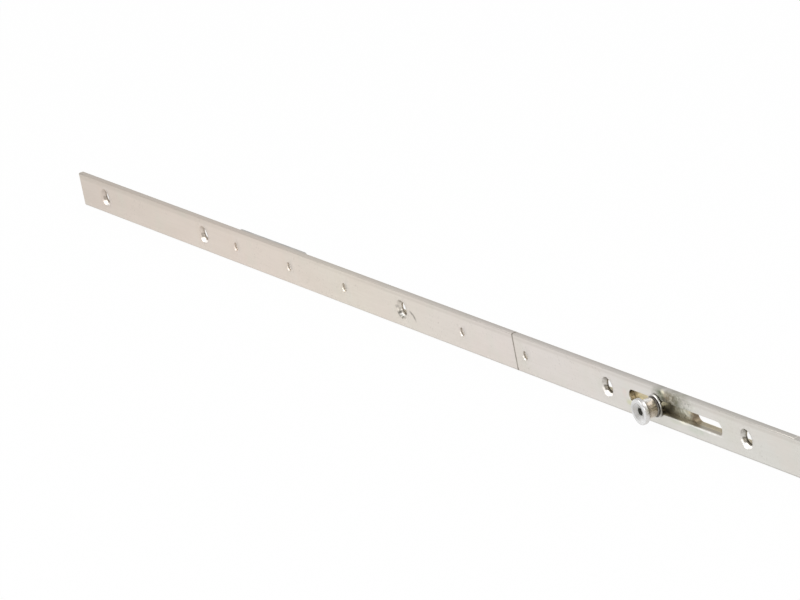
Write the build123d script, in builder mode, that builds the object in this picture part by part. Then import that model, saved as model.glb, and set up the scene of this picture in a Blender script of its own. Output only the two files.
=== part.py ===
from build123d import *
import os
from math import acos, atan, ceil, cos, degrees, floor, pi, radians, sin, sqrt, tan

os.makedirs("parts", exist_ok=True)

# A multipoint door lock, lying on its long edge.
# +X runs along the lock from its upper end to its lower end, +Y runs from the faceplate into
# the door, +Z runs across the faceplate. The origin is on the axis of the handle's spindle, at
# mid thickness of the case. The sliding parts are drawn 13 mm off the middle of their stroke.

# Driving dimensions, in millimetres
backset = 35.0
plate_width = 16.0
plate_thick = 2.5
end_length = 400.0
cam_length = 200.0
centre_out_upper = 128.0
centre_out_lower = 122.0
stroke = 36.0
rest_offset = 13.0

# Faceplates and their holes: the first ones are measured from the outer end of the lock, the
# next from the first seam, and the centre section's from the ends of the case
edge_roll = 0.6
screw_radius = 2.6
screw_land = 0.9
outer_screws = (25.0, 126.0)
first_rivet = 157.5
rivet_pitch = 50.0
third_screw_back = 92.5
splice_rivet_in = 7.5
cam_slot_in = 118.0
cam_screw_spread = 48.5
slot_side_clear = 0.35
slot_end_spare = 12.05
screw_slot_spare = 6.4
centre_screw_out_upper = 68.0
centre_screw_out_lower = 62.0
sink_angle = 90.0

# Small fastenings
rivet_radius = 1.6
rivet_recess = 0.9
dimple_step = 0.5
rivet_head_step = 1.15
rivet_head_thick = 1.0
boss_radius = 2.5
stud_head_radius = 4.5
stud_head_thick = 1.0
fit = 0.05
slack = 0.5

# Drive bars and straps
bar_width = 11.6
bar_thick = 2.5
bar_gap = 0.1
bar_end_land = 6.0
bar_corner = 2.0
strap_thick = 1.4
strap_width = 9.6
strap_land = 7.5
inner_studs = (-10.0, 12.0)
guide_width = 11.2
guide_land = 5.5
guide_pad = 9.5

# Mushroom cams
eccentric = 0.6
shank_radius = 2.45
head_radius = 5.3
head_thick = 1.7
head_chamfer = 0.35
dish_radius = 3.5
dish_floor = 1.95
dish_depth = 0.8
hex_size = 3.0
hex_depth = 1.6
head_height = 8.2
sleeve_radius = 3.95
journal_radius = 2.7
neck_thick = 0.5
collar_radius = 4.8
collar_thick = 1.4
collar_gap = 0.3
running_gap = 0.15
washer_radius = 4.6
washer_thick = 0.9
peen_thick = 0.5

# Case
wall = 1.5
inner_half = 6.0
latch_room = 20.0
tail_room = 11.4
detent_rise = 2.9
case_corner = 3.0
post_radius = 3.0
post_inset = 6.0
lug_length = 8.4
lug_depth = 8.0
screw_core = 1.65
case_screw_land = 0.55
case_screw_length = 11.0
cover_screw_core = 1.25
cover_screw_land = 0.15
cover_screw_length = 7.0
socket_size = 2.0
socket_depth = 1.2
head_taper_ease = 0.01

# Rack and follower
module_size = 1.5
gear_teeth = 30
pressure_angle = 20.0
backlash = 0.3
root_factor = 1.25
mesh_spare_upper = 7.0
mesh_spare_lower = 5.0
slide_thick = 1.5
slide_band = 7.9
layer_gap = 0.1
gear_clear = 1.0
rack_side = -90.0
tab_length = 15.0
tab_top = 4.0
tab_gap_upper = 8.0
tab_gap_lower = 3.0
tab_rivet_inset = 4.0
hub_radius = 12.0
hub_clear = 0.2
journal_outer = 9.0
spindle_square = 8.0
bush_wall = 2.0
bush_flange = 2.0
bush_flange_thick = 1.5
spring_strip = 0.8
detent_half = 22.0
detent_width = 6.0
spring_clear = 0.3

# Bolts
bolt_side_clear = 0.2
bolt_clear = 0.15
window_clear = 0.3
guide_wall = 2.7
guide_thick = 3.5
latch_at = -62.0
latch_half = 10.0
latch_proud = 8.0
latch_back = 23.0
roller_over = 0.1
roller_half = 6.5
roller_pin_radius = 1.5
roller_relief = 0.5
cheek_step = 0.8
cheek_over = 1.8
nose_share = 0.75
rod_radius = 1.5
rod_spread = 5.0
rod_engaged = 5.0
rod_hole_depth = 14.0
spring_wire = 1.0
stop_at = 4.0
stop_thick = 2.0
stop_margin = 2.0
bolt_at = 58.0
bolt_height_half = 12.0
bolt_throw = 20.0
bolt_behind = 12.0
bolt_chamfer = 0.8
bolt_pin_radius = 2.5
bolt_pin_ahead = 14.0
lug_out = 8.0
lug_low = -6.0
lug_high = 2.0
lug_half = 3.0
strip_stand = 2.2
strip_foot = 6.0

# Cylinder cut-out
cylinder_at = 92.0
cylinder_radius = 8.6
tail_radius = 5.1
tail_reach = 19.5
cylinder_screw_in = 14.0

# Worked out from the above
overrun = 1.0
case_above = -latch_at + latch_half + latch_room
case_below = cylinder_at + tail_reach + tail_radius + tail_room
case_behind = hub_radius + spring_clear + spring_strip + detent_rise + wall
centre_above = case_above + centre_out_upper
centre_below = case_below + centre_out_lower
outer_x = {"upper": -(centre_above + cam_length + end_length),
           "lower": centre_below + cam_length + end_length}
sign = {"upper": 1, "lower": -1}
sink_radius = screw_radius + plate_thick - screw_land
case_screw_head = screw_core + plate_thick - case_screw_land
cover_screw_head = cover_screw_core + wall - cover_screw_land
dimple_radius = rivet_radius + dimple_step
rivet_head_radius = rivet_radius + rivet_head_step
bar_front = plate_thick + bar_gap
bar_back = bar_front + bar_thick
strap_front = bar_back + bar_gap
strap_back = strap_front + strap_thick
travel_out = stroke / 2 - rest_offset
travel_in = stroke / 2 + rest_offset
stud_slot_length = stroke + 2 * boss_radius + 2 * slack
centre_slot_length = stroke + 2 * screw_radius + 2 * slack
screw_slot_length = stroke + 2 * screw_radius + 2 * screw_slot_spare
cam_slot_width = 2 * (shank_radius + slot_side_clear)
cam_slot_length = stroke + 2 * shank_radius + 2 * slot_end_spare
guide_rivets = (first_rivet, first_rivet + rivet_pitch)
third_screw = end_length - third_screw_back
stud_at = (guide_rivets[1] + third_screw) / 2
splice_rivets = (end_length + splice_rivet_in - rivet_pitch, end_length + splice_rivet_in)
cam_slot_middle = end_length + cam_slot_in
cam_screws = (cam_slot_middle - cam_screw_spread, cam_slot_middle + cam_screw_spread)
inner_seam = end_length + cam_length
stud_places = (inner_seam + inner_studs[0], inner_seam + inner_studs[1])
centre_screw_x = {"upper": -case_above - centre_screw_out_upper,
                  "lower": case_below + centre_screw_out_lower}
pitch_radius = module_size * gear_teeth / 2
front_y = -backset
plate_back_y = front_y + plate_thick
inner_front_y = plate_back_y + wall
inner_back_y = case_behind - wall
outer_half = inner_half + wall
slide_y = front_y + bar_back
slide_low = -inner_half + layer_gap
slide_high = slide_low + slide_thick
gear_half = -slide_high - gear_clear
hub_half = inner_half - bush_flange_thick - hub_clear
bolt_half = -slide_high - bolt_side_clear
roller_radius = bolt_half + roller_over
cheek_half = bolt_half - cheek_step
cheek_front = latch_proud - roller_radius + cheek_over
bolt_length = backset + bolt_behind


def facing(depth):
    # A plane parallel to the faceplate, a depth behind its front face, facing out of the door
    return Plane.XZ.offset(backset - depth)


def station(side, from_end):
    # The X of a point at a distance from the outer end of the upper or lower half
    return outer_x[side] + sign[side] * from_end


def save(piece, name):
    piece.part.label = name
    export_step(piece.part, "parts/" + name + ".step")


# Faceplates
def make_faceplate(x_low, x_high, screws, rivets, slots, windows, case_holes):
    # A flat strip with rolled front edges, countersunk holes, slots and square windows
    with BuildPart(facing(0)) as plate:
        with BuildSketch(facing(0)):
            with Locations(((x_low + x_high) / 2, 0)):
                Rectangle(x_high - x_low, plate_width)
        extrude(amount=-plate_thick)
        fillet(plate.edges().filter_by(Axis.X).group_by(Axis.Y)[0], edge_roll)
        if screws:
            with Locations(*[(x, 0) for x in screws]):
                CounterSinkHole(screw_radius, sink_radius, counter_sink_angle=sink_angle)
        if rivets:
            with Locations(*[(x, 0) for x in rivets]):
                CounterSinkHole(rivet_radius + fit, dimple_radius, counter_sink_angle=sink_angle)
        if case_holes:
            with Locations(*[(x, 0) for x in case_holes]):
                CounterSinkHole(screw_core + fit, case_screw_head + fit, counter_sink_angle=sink_angle)
        if slots:
            with BuildSketch(facing(0)):
                with Locations(*[(x, 0) for x in slots]):
                    SlotOverall(cam_slot_length, cam_slot_width)
            extrude(amount=-plate_thick, mode=Mode.SUBTRACT)
        for x, half in windows:
            with BuildSketch(facing(0)):
                with Locations((x, 0)):
                    Rectangle(2 * (half + window_clear), 2 * (bolt_half + window_clear))
            extrude(amount=-plate_thick, mode=Mode.SUBTRACT)
    return plate


lug_middles = (-case_above + wall + lug_length / 2, case_below - wall - lug_length / 2)
for side in ("upper", "lower"):
    seams = sorted((station(side, 0), station(side, end_length)))
    end_screws = [station(side, d) for d in outer_screws + (third_screw,)]
    end_rivets = [station(side, d) for d in guide_rivets + (stud_at, splice_rivets[0])]
    faceplate_end = make_faceplate(seams[0], seams[1], end_screws, end_rivets, [], [], [])
    save(faceplate_end, "faceplate_end_" + side)
    seams = sorted((station(side, end_length), station(side, inner_seam)))
    screws = [station(side, d) for d in cam_screws]
    slot_at = [station(side, cam_slot_middle)]
    rivets = [station(side, splice_rivets[1])]
    faceplate_cam = make_faceplate(seams[0], seams[1], screws, rivets, slot_at, [], [])
    save(faceplate_cam, "faceplate_cam_" + side)

centre_screws = [centre_screw_x[side] for side in sign]
centre_screws.append(cylinder_at + cylinder_screw_in)
bolt_windows = [(latch_at, latch_half), (bolt_at, bolt_height_half)]
faceplate_centre = make_faceplate(-centre_above, centre_below, centre_screws, [], [], bolt_windows,
                                  lug_middles)
save(faceplate_centre, "faceplate_centre")


# Straps behind the seams, and the guides of the bars' outer ends
def make_strap(x_low, x_high, width, holes, pads):
    # A flat strap behind the drive bar, with round bosses and square pads up to the faceplate
    with BuildPart() as strap:
        with BuildSketch(facing(strap_front)):
            with Locations(((x_low + x_high) / 2, 0)):
                RectangleRounded(x_high - x_low, width, bar_corner)
        extrude(amount=-strap_thick)
        with BuildSketch(facing(plate_thick)):
            with Locations(*[(x, 0) for x in holes]):
                Circle(boss_radius)
            for pad_low, pad_high in pads:
                with Locations(((pad_low + pad_high) / 2, 0)):
                    Rectangle(pad_high - pad_low, width)
        extrude(amount=-(strap_front - plate_thick))
        with BuildSketch(facing(plate_thick)):
            with Locations(*[(x, 0) for x in holes]):
                Circle(rivet_radius + fit)
        extrude(amount=-(strap_back - plate_thick), mode=Mode.SUBTRACT)
    return strap


for side in ("upper", "lower"):
    places = [station(side, d) for d in splice_rivets]
    splice_end = make_strap(min(places) - strap_land, max(places) + strap_land, strap_width, places, [])
    save(splice_end, "splice_end_" + side)
    places = [station(side, d) for d in stud_places]
    splice_centre = make_strap(min(places) - strap_land, max(places) + strap_land, strap_width, places, [])
    save(splice_centre, "splice_centre_" + side)
    places = [station(side, d) for d in guide_rivets]
    pad = sorted(station(side, guide_rivets[0] - guide_land + d) for d in (0, guide_pad))
    reach = sorted(station(side, d) for d in (guide_rivets[0] - guide_land, guide_rivets[1] + strap_land))
    end_guide = make_strap(reach[0], reach[1], guide_width, places, [pad])
    save(end_guide, "end_guide_" + side)

with BuildPart() as plate_rivets:
    rivet_places = [station(side, d) for side in sign for d in guide_rivets + splice_rivets]
    with BuildSketch(facing(rivet_recess)):
        with Locations(*[(x, 0) for x in rivet_places]):
            Circle(rivet_radius)
    extrude(amount=-(strap_back - rivet_recess))
    with BuildSketch(facing(strap_back)):
        with Locations(*[(x, 0) for x in rivet_places]):
            Circle(rivet_head_radius)
    extrude(amount=-rivet_head_thick)
save(plate_rivets, "plate_rivets")

with BuildPart() as splice_studs:
    stud_x = [station(side, d) for side in sign for d in stud_places]
    with BuildSketch(facing(plate_thick)):
        with Locations(*[(x, 0) for x in stud_x]):
            Circle(rivet_radius)
    extrude(amount=-(strap_back - plate_thick))
    with BuildSketch(facing(strap_back)):
        with Locations(*[(x, 0) for x in stud_x]):
            Circle(rivet_head_radius)
    extrude(amount=-rivet_head_thick)
save(splice_studs, "splice_studs")

with BuildPart() as guide_studs:
    guide_x = [station(side, stud_at) for side in sign]
    with BuildSketch(facing(rivet_recess)):
        with Locations(*[(x, 0) for x in guide_x]):
            Circle(rivet_radius)
    extrude(amount=-(plate_thick - rivet_recess))
    with BuildSketch(facing(plate_thick)):
        with Locations(*[(x, 0) for x in guide_x]):
            Circle(boss_radius)
    extrude(amount=-(strap_front - plate_thick))
    with BuildSketch(facing(strap_front)):
        with Locations(*[(x, 0) for x in guide_x]):
            Circle(stud_head_radius)
    extrude(amount=-stud_head_thick)
save(guide_studs, "guide_studs")


# Drive bars
def slot_span(fixed_x, length):
    # The two ends of a bar's slot round a fixed shank, which is central at mid stroke
    middle = fixed_x - rest_offset
    return (middle - length / 2, middle + length / 2)


def make_bar(x_low, x_high, spans, rivets, shank_x):
    # A flat bar with long slots, rivet holes and the hole of the cam's shank
    with BuildPart() as bar:
        with BuildSketch(facing(bar_front)):
            with Locations(((x_low + x_high) / 2, 0)):
                RectangleRounded(x_high - x_low, bar_width, bar_corner)
            for low, high in spans:
                with Locations(((low + high) / 2, 0)):
                    SlotOverall(high - low, 2 * (boss_radius + slack), mode=Mode.SUBTRACT)
            with Locations(*[(x, 0) for x in rivets]):
                Circle(rivet_radius, mode=Mode.SUBTRACT)
            with Locations((shank_x, 0)):
                Circle(shank_radius + fit, mode=Mode.SUBTRACT)
        extrude(amount=-bar_thick)
    return bar


tab_end_upper = -case_above - tab_gap_upper - travel_in
tab_end_lower = case_below + tab_gap_lower + travel_out
tab_x = {"upper": (tab_end_upper - tab_length, tab_end_upper),
         "lower": (tab_end_lower, tab_end_lower + tab_length)}
shank_at = {side: station(side, cam_slot_middle) - rest_offset - eccentric for side in sign}
tab_rivets = {}
for side in ("upper", "lower"):
    spans = [slot_span(station(side, guide_rivets[1]), stud_slot_length),
             slot_span(station(side, stud_at), stud_slot_length),
             slot_span(station(side, third_screw), centre_slot_length),
             slot_span(station(side, splice_rivets[0]), stud_slot_length),
             slot_span(station(side, splice_rivets[1]), stud_slot_length),
             slot_span(station(side, cam_screws[0]), screw_slot_length),
             slot_span(centre_screw_x[side], centre_slot_length)]
    long_slot = [slot_span(station(side, cam_screws[1]), screw_slot_length),
                 slot_span(station(side, stud_places[0]), stud_slot_length),
                 slot_span(station(side, stud_places[1]), stud_slot_length)]
    spans.append((min(low for low, high in long_slot), max(high for low, high in long_slot)))
    tab_rivets[side] = (tab_x[side][0] + tab_rivet_inset, tab_x[side][1] - tab_rivet_inset)
    outer_slot = spans[0]
    if side == "upper":
        bar_x = (outer_slot[0] - bar_end_land, tab_x[side][1])
    else:
        bar_x = (tab_x[side][0], outer_slot[1] + bar_end_land)
    drive_bar = make_bar(bar_x[0], bar_x[1], spans, tab_rivets[side], shank_at[side])
    save(drive_bar, "drive_bar_" + side)

# Rack slide: a thin plate beside the bolts, with a toothed block and an upright tab at each end
tooth_pitch = pi * module_size
rack_root_y = -pitch_radius - module_size * root_factor
rack_tip_y = -pitch_radius + module_size
flank = tan(radians(pressure_angle))
half_at_pitch = (tooth_pitch - backlash) / 4
half_root = half_at_pitch + flank * module_size * root_factor
half_tip = half_at_pitch - flank * module_size
rack_low = -travel_in - mesh_spare_upper
rack_high = travel_out + mesh_spare_lower
first_tooth = ceil((rack_low + half_root) / tooth_pitch - 1 / 2)
last_tooth = floor((rack_high - half_root) / tooth_pitch - 1 / 2)
with BuildPart() as rack_slide:
    with BuildSketch(Plane.XY.offset(slide_low)):
        with Locations(((tab_x["upper"][0] + tab_x["lower"][1]) / 2, slide_y + slide_band / 2)):
            Rectangle(tab_x["lower"][1] - tab_x["upper"][0], slide_band)
    extrude(amount=slide_thick)
    with BuildSketch(Plane.XY.offset(slide_high)):
        with Locations(((rack_low + rack_high) / 2, (slide_y + rack_root_y) / 2)):
            Rectangle(rack_high - rack_low, rack_root_y - slide_y)
    extrude(amount=gear_half - slide_high)
    with BuildSketch(Plane.XY.offset(-gear_half)):
        for n in range(first_tooth, last_tooth + 1):
            tooth_x = (n + 1 / 2) * tooth_pitch
            with BuildLine():
                Polyline((tooth_x - half_root, rack_root_y), (tooth_x - half_tip, rack_tip_y),
                         (tooth_x + half_tip, rack_tip_y), (tooth_x + half_root, rack_root_y),
                         (tooth_x + half_root, rack_root_y - overrun),
                         (tooth_x - half_root, rack_root_y - overrun), close=True)
            make_face()
    extrude(amount=2 * gear_half)
    for side in ("upper", "lower"):
        with BuildSketch(facing(bar_back)):
            with Locations(((tab_x[side][0] + tab_x[side][1]) / 2, (slide_low + tab_top) / 2)):
                Rectangle(tab_length, tab_top - slide_low)
        extrude(amount=-slide_thick)
        with BuildSketch(facing(bar_back)):
            with Locations(*[(x, 0) for x in tab_rivets[side]]):
                Circle(rivet_radius)
        extrude(amount=-slide_thick, mode=Mode.SUBTRACT)
save(rack_slide, "rack_slide")

with BuildPart() as coupling_rivets:
    joined = [(x, 0) for side in sign for x in tab_rivets[side]]
    with BuildSketch(facing(bar_front)):
        with Locations(*joined):
            Circle(rivet_radius)
    extrude(amount=-(bar_thick + slide_thick))
    with BuildSketch(facing(bar_back + slide_thick)):
        with Locations(*joined):
            Circle(rivet_head_radius)
    extrude(amount=-rivet_head_thick)
save(coupling_rivets, "coupling_rivets")

# Follower: a hub on two journals with a toothed sector, turned to where the bars stand
base_radius = pitch_radius * cos(radians(pressure_angle))
tip_radius = pitch_radius + module_size
root_radius = pitch_radius - module_size * root_factor
tooth_step = 360 / gear_teeth
rest_turn = -rest_offset / pitch_radius * 180 / pi


def involute(angle):
    return tan(angle) - angle


def tooth_half_angle(radius):
    # Half the angle that a tooth takes up at a radius, less half the backlash
    at_pitch = (tooth_pitch / 2 - backlash / 2) / 2 / pitch_radius
    here = acos(min(1, base_radius / radius))
    return at_pitch + involute(radians(pressure_angle)) - involute(here)


def make_tooth(middle):
    # One involute tooth, its flanks drawn through a few points and run into the sector below
    steps = 5
    radii = [base_radius + (tip_radius - base_radius) * n / steps for n in range(steps + 1)]
    low_radius = root_radius - overrun
    right = [(low_radius, tooth_half_angle(base_radius))] + [(r, tooth_half_angle(r)) for r in radii]
    left = [(r, -a) for r, a in reversed(right)]
    points = [(r * cos(middle + a), r * sin(middle + a)) for r, a in right + left]
    with BuildSketch(mode=Mode.PRIVATE) as tooth:
        with BuildLine():
            Polyline(*points, close=True)
        make_face()
    return tooth.sketch


spare_teeth = 1
gear_low = -int(travel_in / tooth_pitch) - spare_teeth
gear_high = int(travel_out / tooth_pitch) + spare_teeth
sector_low = rack_side + (gear_low - 1 / 2) * tooth_step
sector_high = rack_side + (gear_high + 1 / 2) * tooth_step
with BuildPart() as follower:
    with BuildSketch(Plane.XY.offset(-gear_half)):
        with BuildLine():
            CenterArc((0, 0), root_radius, sector_low, sector_high - sector_low)
            Line((0, 0), (root_radius * cos(radians(sector_low)), root_radius * sin(radians(sector_low))))
            Line((0, 0), (root_radius * cos(radians(sector_high)), root_radius * sin(radians(sector_high))))
        make_face()
        for n in range(gear_low, gear_high + 1):
            add(make_tooth(radians(rack_side + n * tooth_step)))
    extrude(amount=2 * gear_half)
    with BuildSketch(Plane.XY.offset(-hub_half)):
        Circle(hub_radius)
    extrude(amount=2 * hub_half)
    with BuildSketch(Plane.XY.offset(-outer_half)):
        Circle(journal_outer)
    extrude(amount=2 * outer_half)
    with BuildSketch(Plane.XY.offset(-outer_half)):
        Rectangle(spindle_square, spindle_square, rotation=rest_turn)
    extrude(amount=2 * outer_half, mode=Mode.SUBTRACT)
save(follower, "follower")

bush_radius = journal_outer + fit + bush_wall
for name, flange_z, wall_z in (("follower_bush_tray", -inner_half, -outer_half),
                               ("follower_bush_cover", inner_half - bush_flange_thick, inner_half)):
    with BuildPart() as bush:
        with BuildSketch(Plane.XY.offset(flange_z)):
            Circle(bush_radius + bush_flange)
        extrude(amount=bush_flange_thick)
        with BuildSketch(Plane.XY.offset(wall_z)):
            Circle(bush_radius)
        extrude(amount=wall)
        with BuildSketch(Plane.XY.offset(-outer_half)):
            Circle(journal_outer + fit)
        extrude(amount=2 * outer_half, mode=Mode.SUBTRACT)
    save(bush, name)

with BuildPart() as detent_spring:
    crown = hub_radius + spring_clear
    root_line = inner_back_y - spring_strip
    with BuildSketch(Plane.XY.offset(-detent_width / 2)):
        with BuildLine():
            ThreePointArc((-detent_half, root_line), (0, crown), (detent_half, root_line))
            Line((detent_half, root_line), (detent_half, inner_back_y))
            ThreePointArc((detent_half, inner_back_y), (0, crown + spring_strip),
                          (-detent_half, inner_back_y))
            Line((-detent_half, inner_back_y), (-detent_half, root_line))
        make_face()
    extrude(amount=detent_width)
save(detent_spring, "detent_spring")

# Case: a tray with four walls, and a flat cover
case_length = case_above + case_below
case_mid_x = (case_below - case_above) / 2
case_mid_y = (plate_back_y + case_behind) / 2
post_places = [(-case_above + post_inset, inner_back_y - post_radius),
               (latch_at + latch_half + 2 * post_inset + stop_margin, inner_back_y - post_radius),
               (bolt_at - bolt_height_half - 2 * post_inset, inner_back_y - post_radius),
               (case_below - post_inset, inner_back_y - post_radius)]


def side_holes(low_z):
    # The outline of the holes for the follower's bush and the profile cylinder
    with BuildSketch(Plane.XY.offset(low_z), mode=Mode.PRIVATE) as holes:
        Circle(bush_radius + fit)
        with Locations((cylinder_at, 0)):
            Circle(cylinder_radius)
        with Locations((cylinder_at + tail_reach / 2, 0)):
            Rectangle(tail_reach, 2 * tail_radius)
        with Locations((cylinder_at + tail_reach, 0)):
            Circle(tail_radius)
    return holes.sketch


with BuildPart() as case_body:
    with BuildSketch(Plane.XY.offset(-outer_half)):
        with Locations((case_mid_x, case_mid_y)):
            Rectangle(case_length, case_behind - plate_back_y)
    extrude(amount=outer_half + inner_half)
    back_edges = case_body.edges().filter_by(Axis.Z).group_by(Axis.Y)[-1]
    fillet(back_edges, case_corner)
    with BuildSketch(Plane.XY.offset(-inner_half)):
        with Locations((case_mid_x, (inner_front_y + inner_back_y) / 2)):
            Rectangle(case_length - 2 * wall, inner_back_y - inner_front_y)
    extrude(amount=2 * inner_half, mode=Mode.SUBTRACT)
    extrude(side_holes(-outer_half), amount=wall, mode=Mode.SUBTRACT)
    with BuildSketch(Plane.XY.offset(-inner_half)):
        with Locations((case_mid_x, slide_y + slide_band / 2)):
            Rectangle(case_length + 2 * overrun, slide_band + 2 * slack)
    extrude(amount=slide_thick + layer_gap + slack, mode=Mode.SUBTRACT)
    with BuildSketch(facing(plate_thick)):
        for middle, half in bolt_windows:
            with Locations((middle, 0)):
                Rectangle(2 * (half + window_clear), 2 * (bolt_half + window_clear))
        with Locations(*[(x, 0) for x in lug_middles]):
            Circle(screw_core + fit)
        with Locations((cylinder_at + cylinder_screw_in, 0)):
            Circle(screw_radius)
    extrude(amount=-wall, mode=Mode.SUBTRACT)
save(case_body, "case_body")

with BuildPart(Plane.XY.offset(outer_half)) as case_cover:
    with BuildSketch(Plane.XY.offset(inner_half)):
        with Locations((case_mid_x, case_mid_y)):
            Rectangle(case_length, case_behind - plate_back_y)
    extrude(amount=wall)
    back_edges = case_cover.edges().filter_by(Axis.Z).group_by(Axis.Y)[-1]
    fillet(back_edges, case_corner)
    extrude(side_holes(inner_half), amount=wall, mode=Mode.SUBTRACT)
    with Locations(*post_places):
        CounterSinkHole(cover_screw_core + fit, cover_screw_head + fit, counter_sink_angle=sink_angle)
save(case_cover, "case_cover")

with BuildPart() as case_posts:
    with BuildSketch(Plane.XY.offset(-inner_half)):
        with Locations(*post_places):
            Circle(post_radius)
            Circle(cover_screw_core, mode=Mode.SUBTRACT)
    extrude(amount=2 * inner_half)
save(case_posts, "case_posts")


def make_flat_screws(plane, places, core, head, length):
    # Countersunk screws with a hexagon socket, their heads flush with a plane that faces outwards
    with BuildPart() as screws:
        with BuildSketch(plane):
            with Locations(*places):
                Circle(core)
        extrude(amount=-length)
        with BuildSketch(plane):
            with Locations(*places):
                Circle(head)
        extrude(amount=-(head - core), taper=sink_angle / 2 - head_taper_ease)
        with BuildSketch(plane):
            with Locations(*places):
                RegularPolygon(socket_size / sqrt(3), 6)
        extrude(amount=-socket_depth, mode=Mode.SUBTRACT)
    return screws


cover_screws = make_flat_screws(Plane.XY.offset(outer_half), post_places, cover_screw_core,
                                cover_screw_head, cover_screw_length)
save(cover_screws, "cover_screws")
case_screws = make_flat_screws(facing(0), [(x, 0) for x in lug_middles], screw_core,
                               case_screw_head, case_screw_length)
save(case_screws, "case_screws")

with BuildPart() as case_lugs:
    lug_low_z = slide_high + bolt_clear
    with BuildSketch(facing(plate_thick + wall)):
        for x in lug_middles:
            with Locations((x, (lug_low_z + inner_half) / 2)):
                Rectangle(lug_length, inner_half - lug_low_z)
            with Locations((x, 0)):
                Circle(screw_core + fit, mode=Mode.SUBTRACT)
    extrude(amount=-lug_depth)
save(case_lugs, "case_lugs")

# Mushroom cams: each pin is a shank in the bar with an eccentric journal and head in front
sleeve_back = collar_gap + collar_thick + running_gap
sleeve_front = head_height - head_thick - neck_thick - running_gap
dish_taper = degrees(atan((dish_radius - dish_floor) / dish_depth))
for side in ("upper", "lower"):
    shank_x = shank_at[side]
    axis_x = shank_x + eccentric
    with BuildPart() as cam_pin:
        with BuildSketch(facing(bar_back + bar_gap + washer_thick + peen_thick)):
            with Locations((shank_x, 0)):
                Circle(shank_radius)
        extrude(amount=bar_back + bar_gap + washer_thick + peen_thick + collar_gap)
        with BuildSketch(facing(-collar_gap)):
            with Locations((axis_x, 0)):
                Circle(journal_radius)
        extrude(amount=head_height - head_thick - collar_gap)
        with BuildSketch(facing(-(head_height - head_thick))):
            with Locations((axis_x, 0)):
                Circle(head_radius)
        extrude(amount=-neck_thick, taper=sink_angle / 2)
        with BuildSketch(facing(-(head_height - head_thick))):
            with Locations((axis_x, 0)):
                Circle(head_radius)
        extrude(amount=head_thick)
        rim = cam_pin.faces().sort_by(Axis.Y)[0].edges()
        chamfer(rim, head_chamfer)
        with BuildSketch(facing(-head_height)):
            with Locations((axis_x, 0)):
                Circle(dish_radius)
        extrude(amount=-dish_depth, taper=dish_taper, mode=Mode.SUBTRACT)
        with BuildSketch(facing(-head_height)):
            with Locations((axis_x, 0)):
                RegularPolygon(hex_size / sqrt(3), 6)
        extrude(amount=-(dish_depth + hex_depth), mode=Mode.SUBTRACT)
    save(cam_pin, "cam_pin_" + side)
    with BuildPart() as cam_sleeve:
        with BuildSketch(facing(-sleeve_back)):
            with Locations((axis_x, 0)):
                Circle(sleeve_radius)
                Circle(journal_radius + fit, mode=Mode.SUBTRACT)
        extrude(amount=sleeve_front - sleeve_back)
    save(cam_sleeve, "cam_sleeve_" + side)
    with BuildPart() as cam_collar:
        with BuildSketch(facing(-collar_gap)):
            with Locations((axis_x, 0)):
                Circle(collar_radius)
                Circle(journal_radius, mode=Mode.SUBTRACT)
        extrude(amount=collar_thick)
        chamfer(cam_collar.faces().sort_by(Axis.Y)[0].outer_wire().edges(), head_chamfer)
    save(cam_collar, "cam_collar_" + side)
    with BuildPart() as cam_washer:
        with BuildSketch(facing(bar_back + bar_gap)):
            with Locations((shank_x, 0)):
                Circle(washer_radius)
                Circle(shank_radius, mode=Mode.SUBTRACT)
        extrude(amount=-washer_thick)
    save(cam_washer, "cam_washer_" + side)

# Roller latch: a forked carrier on two rods, pushed out by springs
roller_depth = roller_radius - latch_proud
latch_rear = latch_back
latch_front = roller_depth + roller_radius + roller_relief
rod_x = (latch_at - rod_spread, latch_at + rod_spread)
with BuildPart() as latch_carrier:
    with BuildSketch(facing(latch_front)):
        with Locations((latch_at, 0)):
            Rectangle(2 * latch_half, 2 * bolt_half)
    extrude(amount=-(latch_rear - latch_front))
    for low, high in ((latch_at - latch_half, latch_at - roller_half - roller_relief),
                      (latch_at + roller_half + roller_relief, latch_at + latch_half)):
        with BuildSketch(facing(latch_front)):
            with Locations(((low + high) / 2, 0)):
                Rectangle(high - low, 2 * cheek_half)
        extrude(amount=latch_front + cheek_front)
    nose = latch_carrier.edges().filter_by(Axis.X).group_by(Axis.Y)[0]
    fillet(nose, cheek_half * nose_share)
    with BuildSketch(Plane.YZ.offset(latch_at - latch_half)):
        with Locations((front_y + roller_depth, 0)):
            Circle(roller_pin_radius)
    extrude(amount=2 * latch_half, mode=Mode.SUBTRACT)
    with BuildSketch(facing(latch_rear)):
        with Locations(*[(x, 0) for x in rod_x]):
            Circle(rod_radius + 2 * fit)
    extrude(amount=rod_hole_depth, mode=Mode.SUBTRACT)
save(latch_carrier, "latch_carrier")

with BuildPart() as latch_roller_pin:
    with BuildSketch(Plane.YZ.offset(latch_at - latch_half)):
        with Locations((front_y + roller_depth, 0)):
            Circle(roller_pin_radius)
    extrude(amount=2 * latch_half)
save(latch_roller_pin, "latch_roller_pin")

with BuildPart() as latch_roller:
    with BuildSketch(Plane.YZ.offset(latch_at - roller_half)):
        with Locations((front_y + roller_depth, 0)):
            Circle(roller_radius)
    extrude(amount=2 * roller_half)
    fillet(latch_roller.edges(), roller_relief)
    with BuildSketch(Plane.YZ.offset(latch_at - roller_half)):
        with Locations((front_y + roller_depth, 0)):
            Circle(roller_pin_radius + fit)
    extrude(amount=2 * roller_half, mode=Mode.SUBTRACT)
save(latch_roller, "latch_roller")

stop_depth = backset + stop_at
rod_tip = latch_rear - rod_engaged
with BuildPart() as latch_rods:
    with BuildSketch(facing(stop_depth)):
        with Locations(*[(x, 0) for x in rod_x]):
            Circle(rod_radius)
    extrude(amount=stop_depth - rod_tip)
save(latch_rods, "latch_rods")

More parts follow.
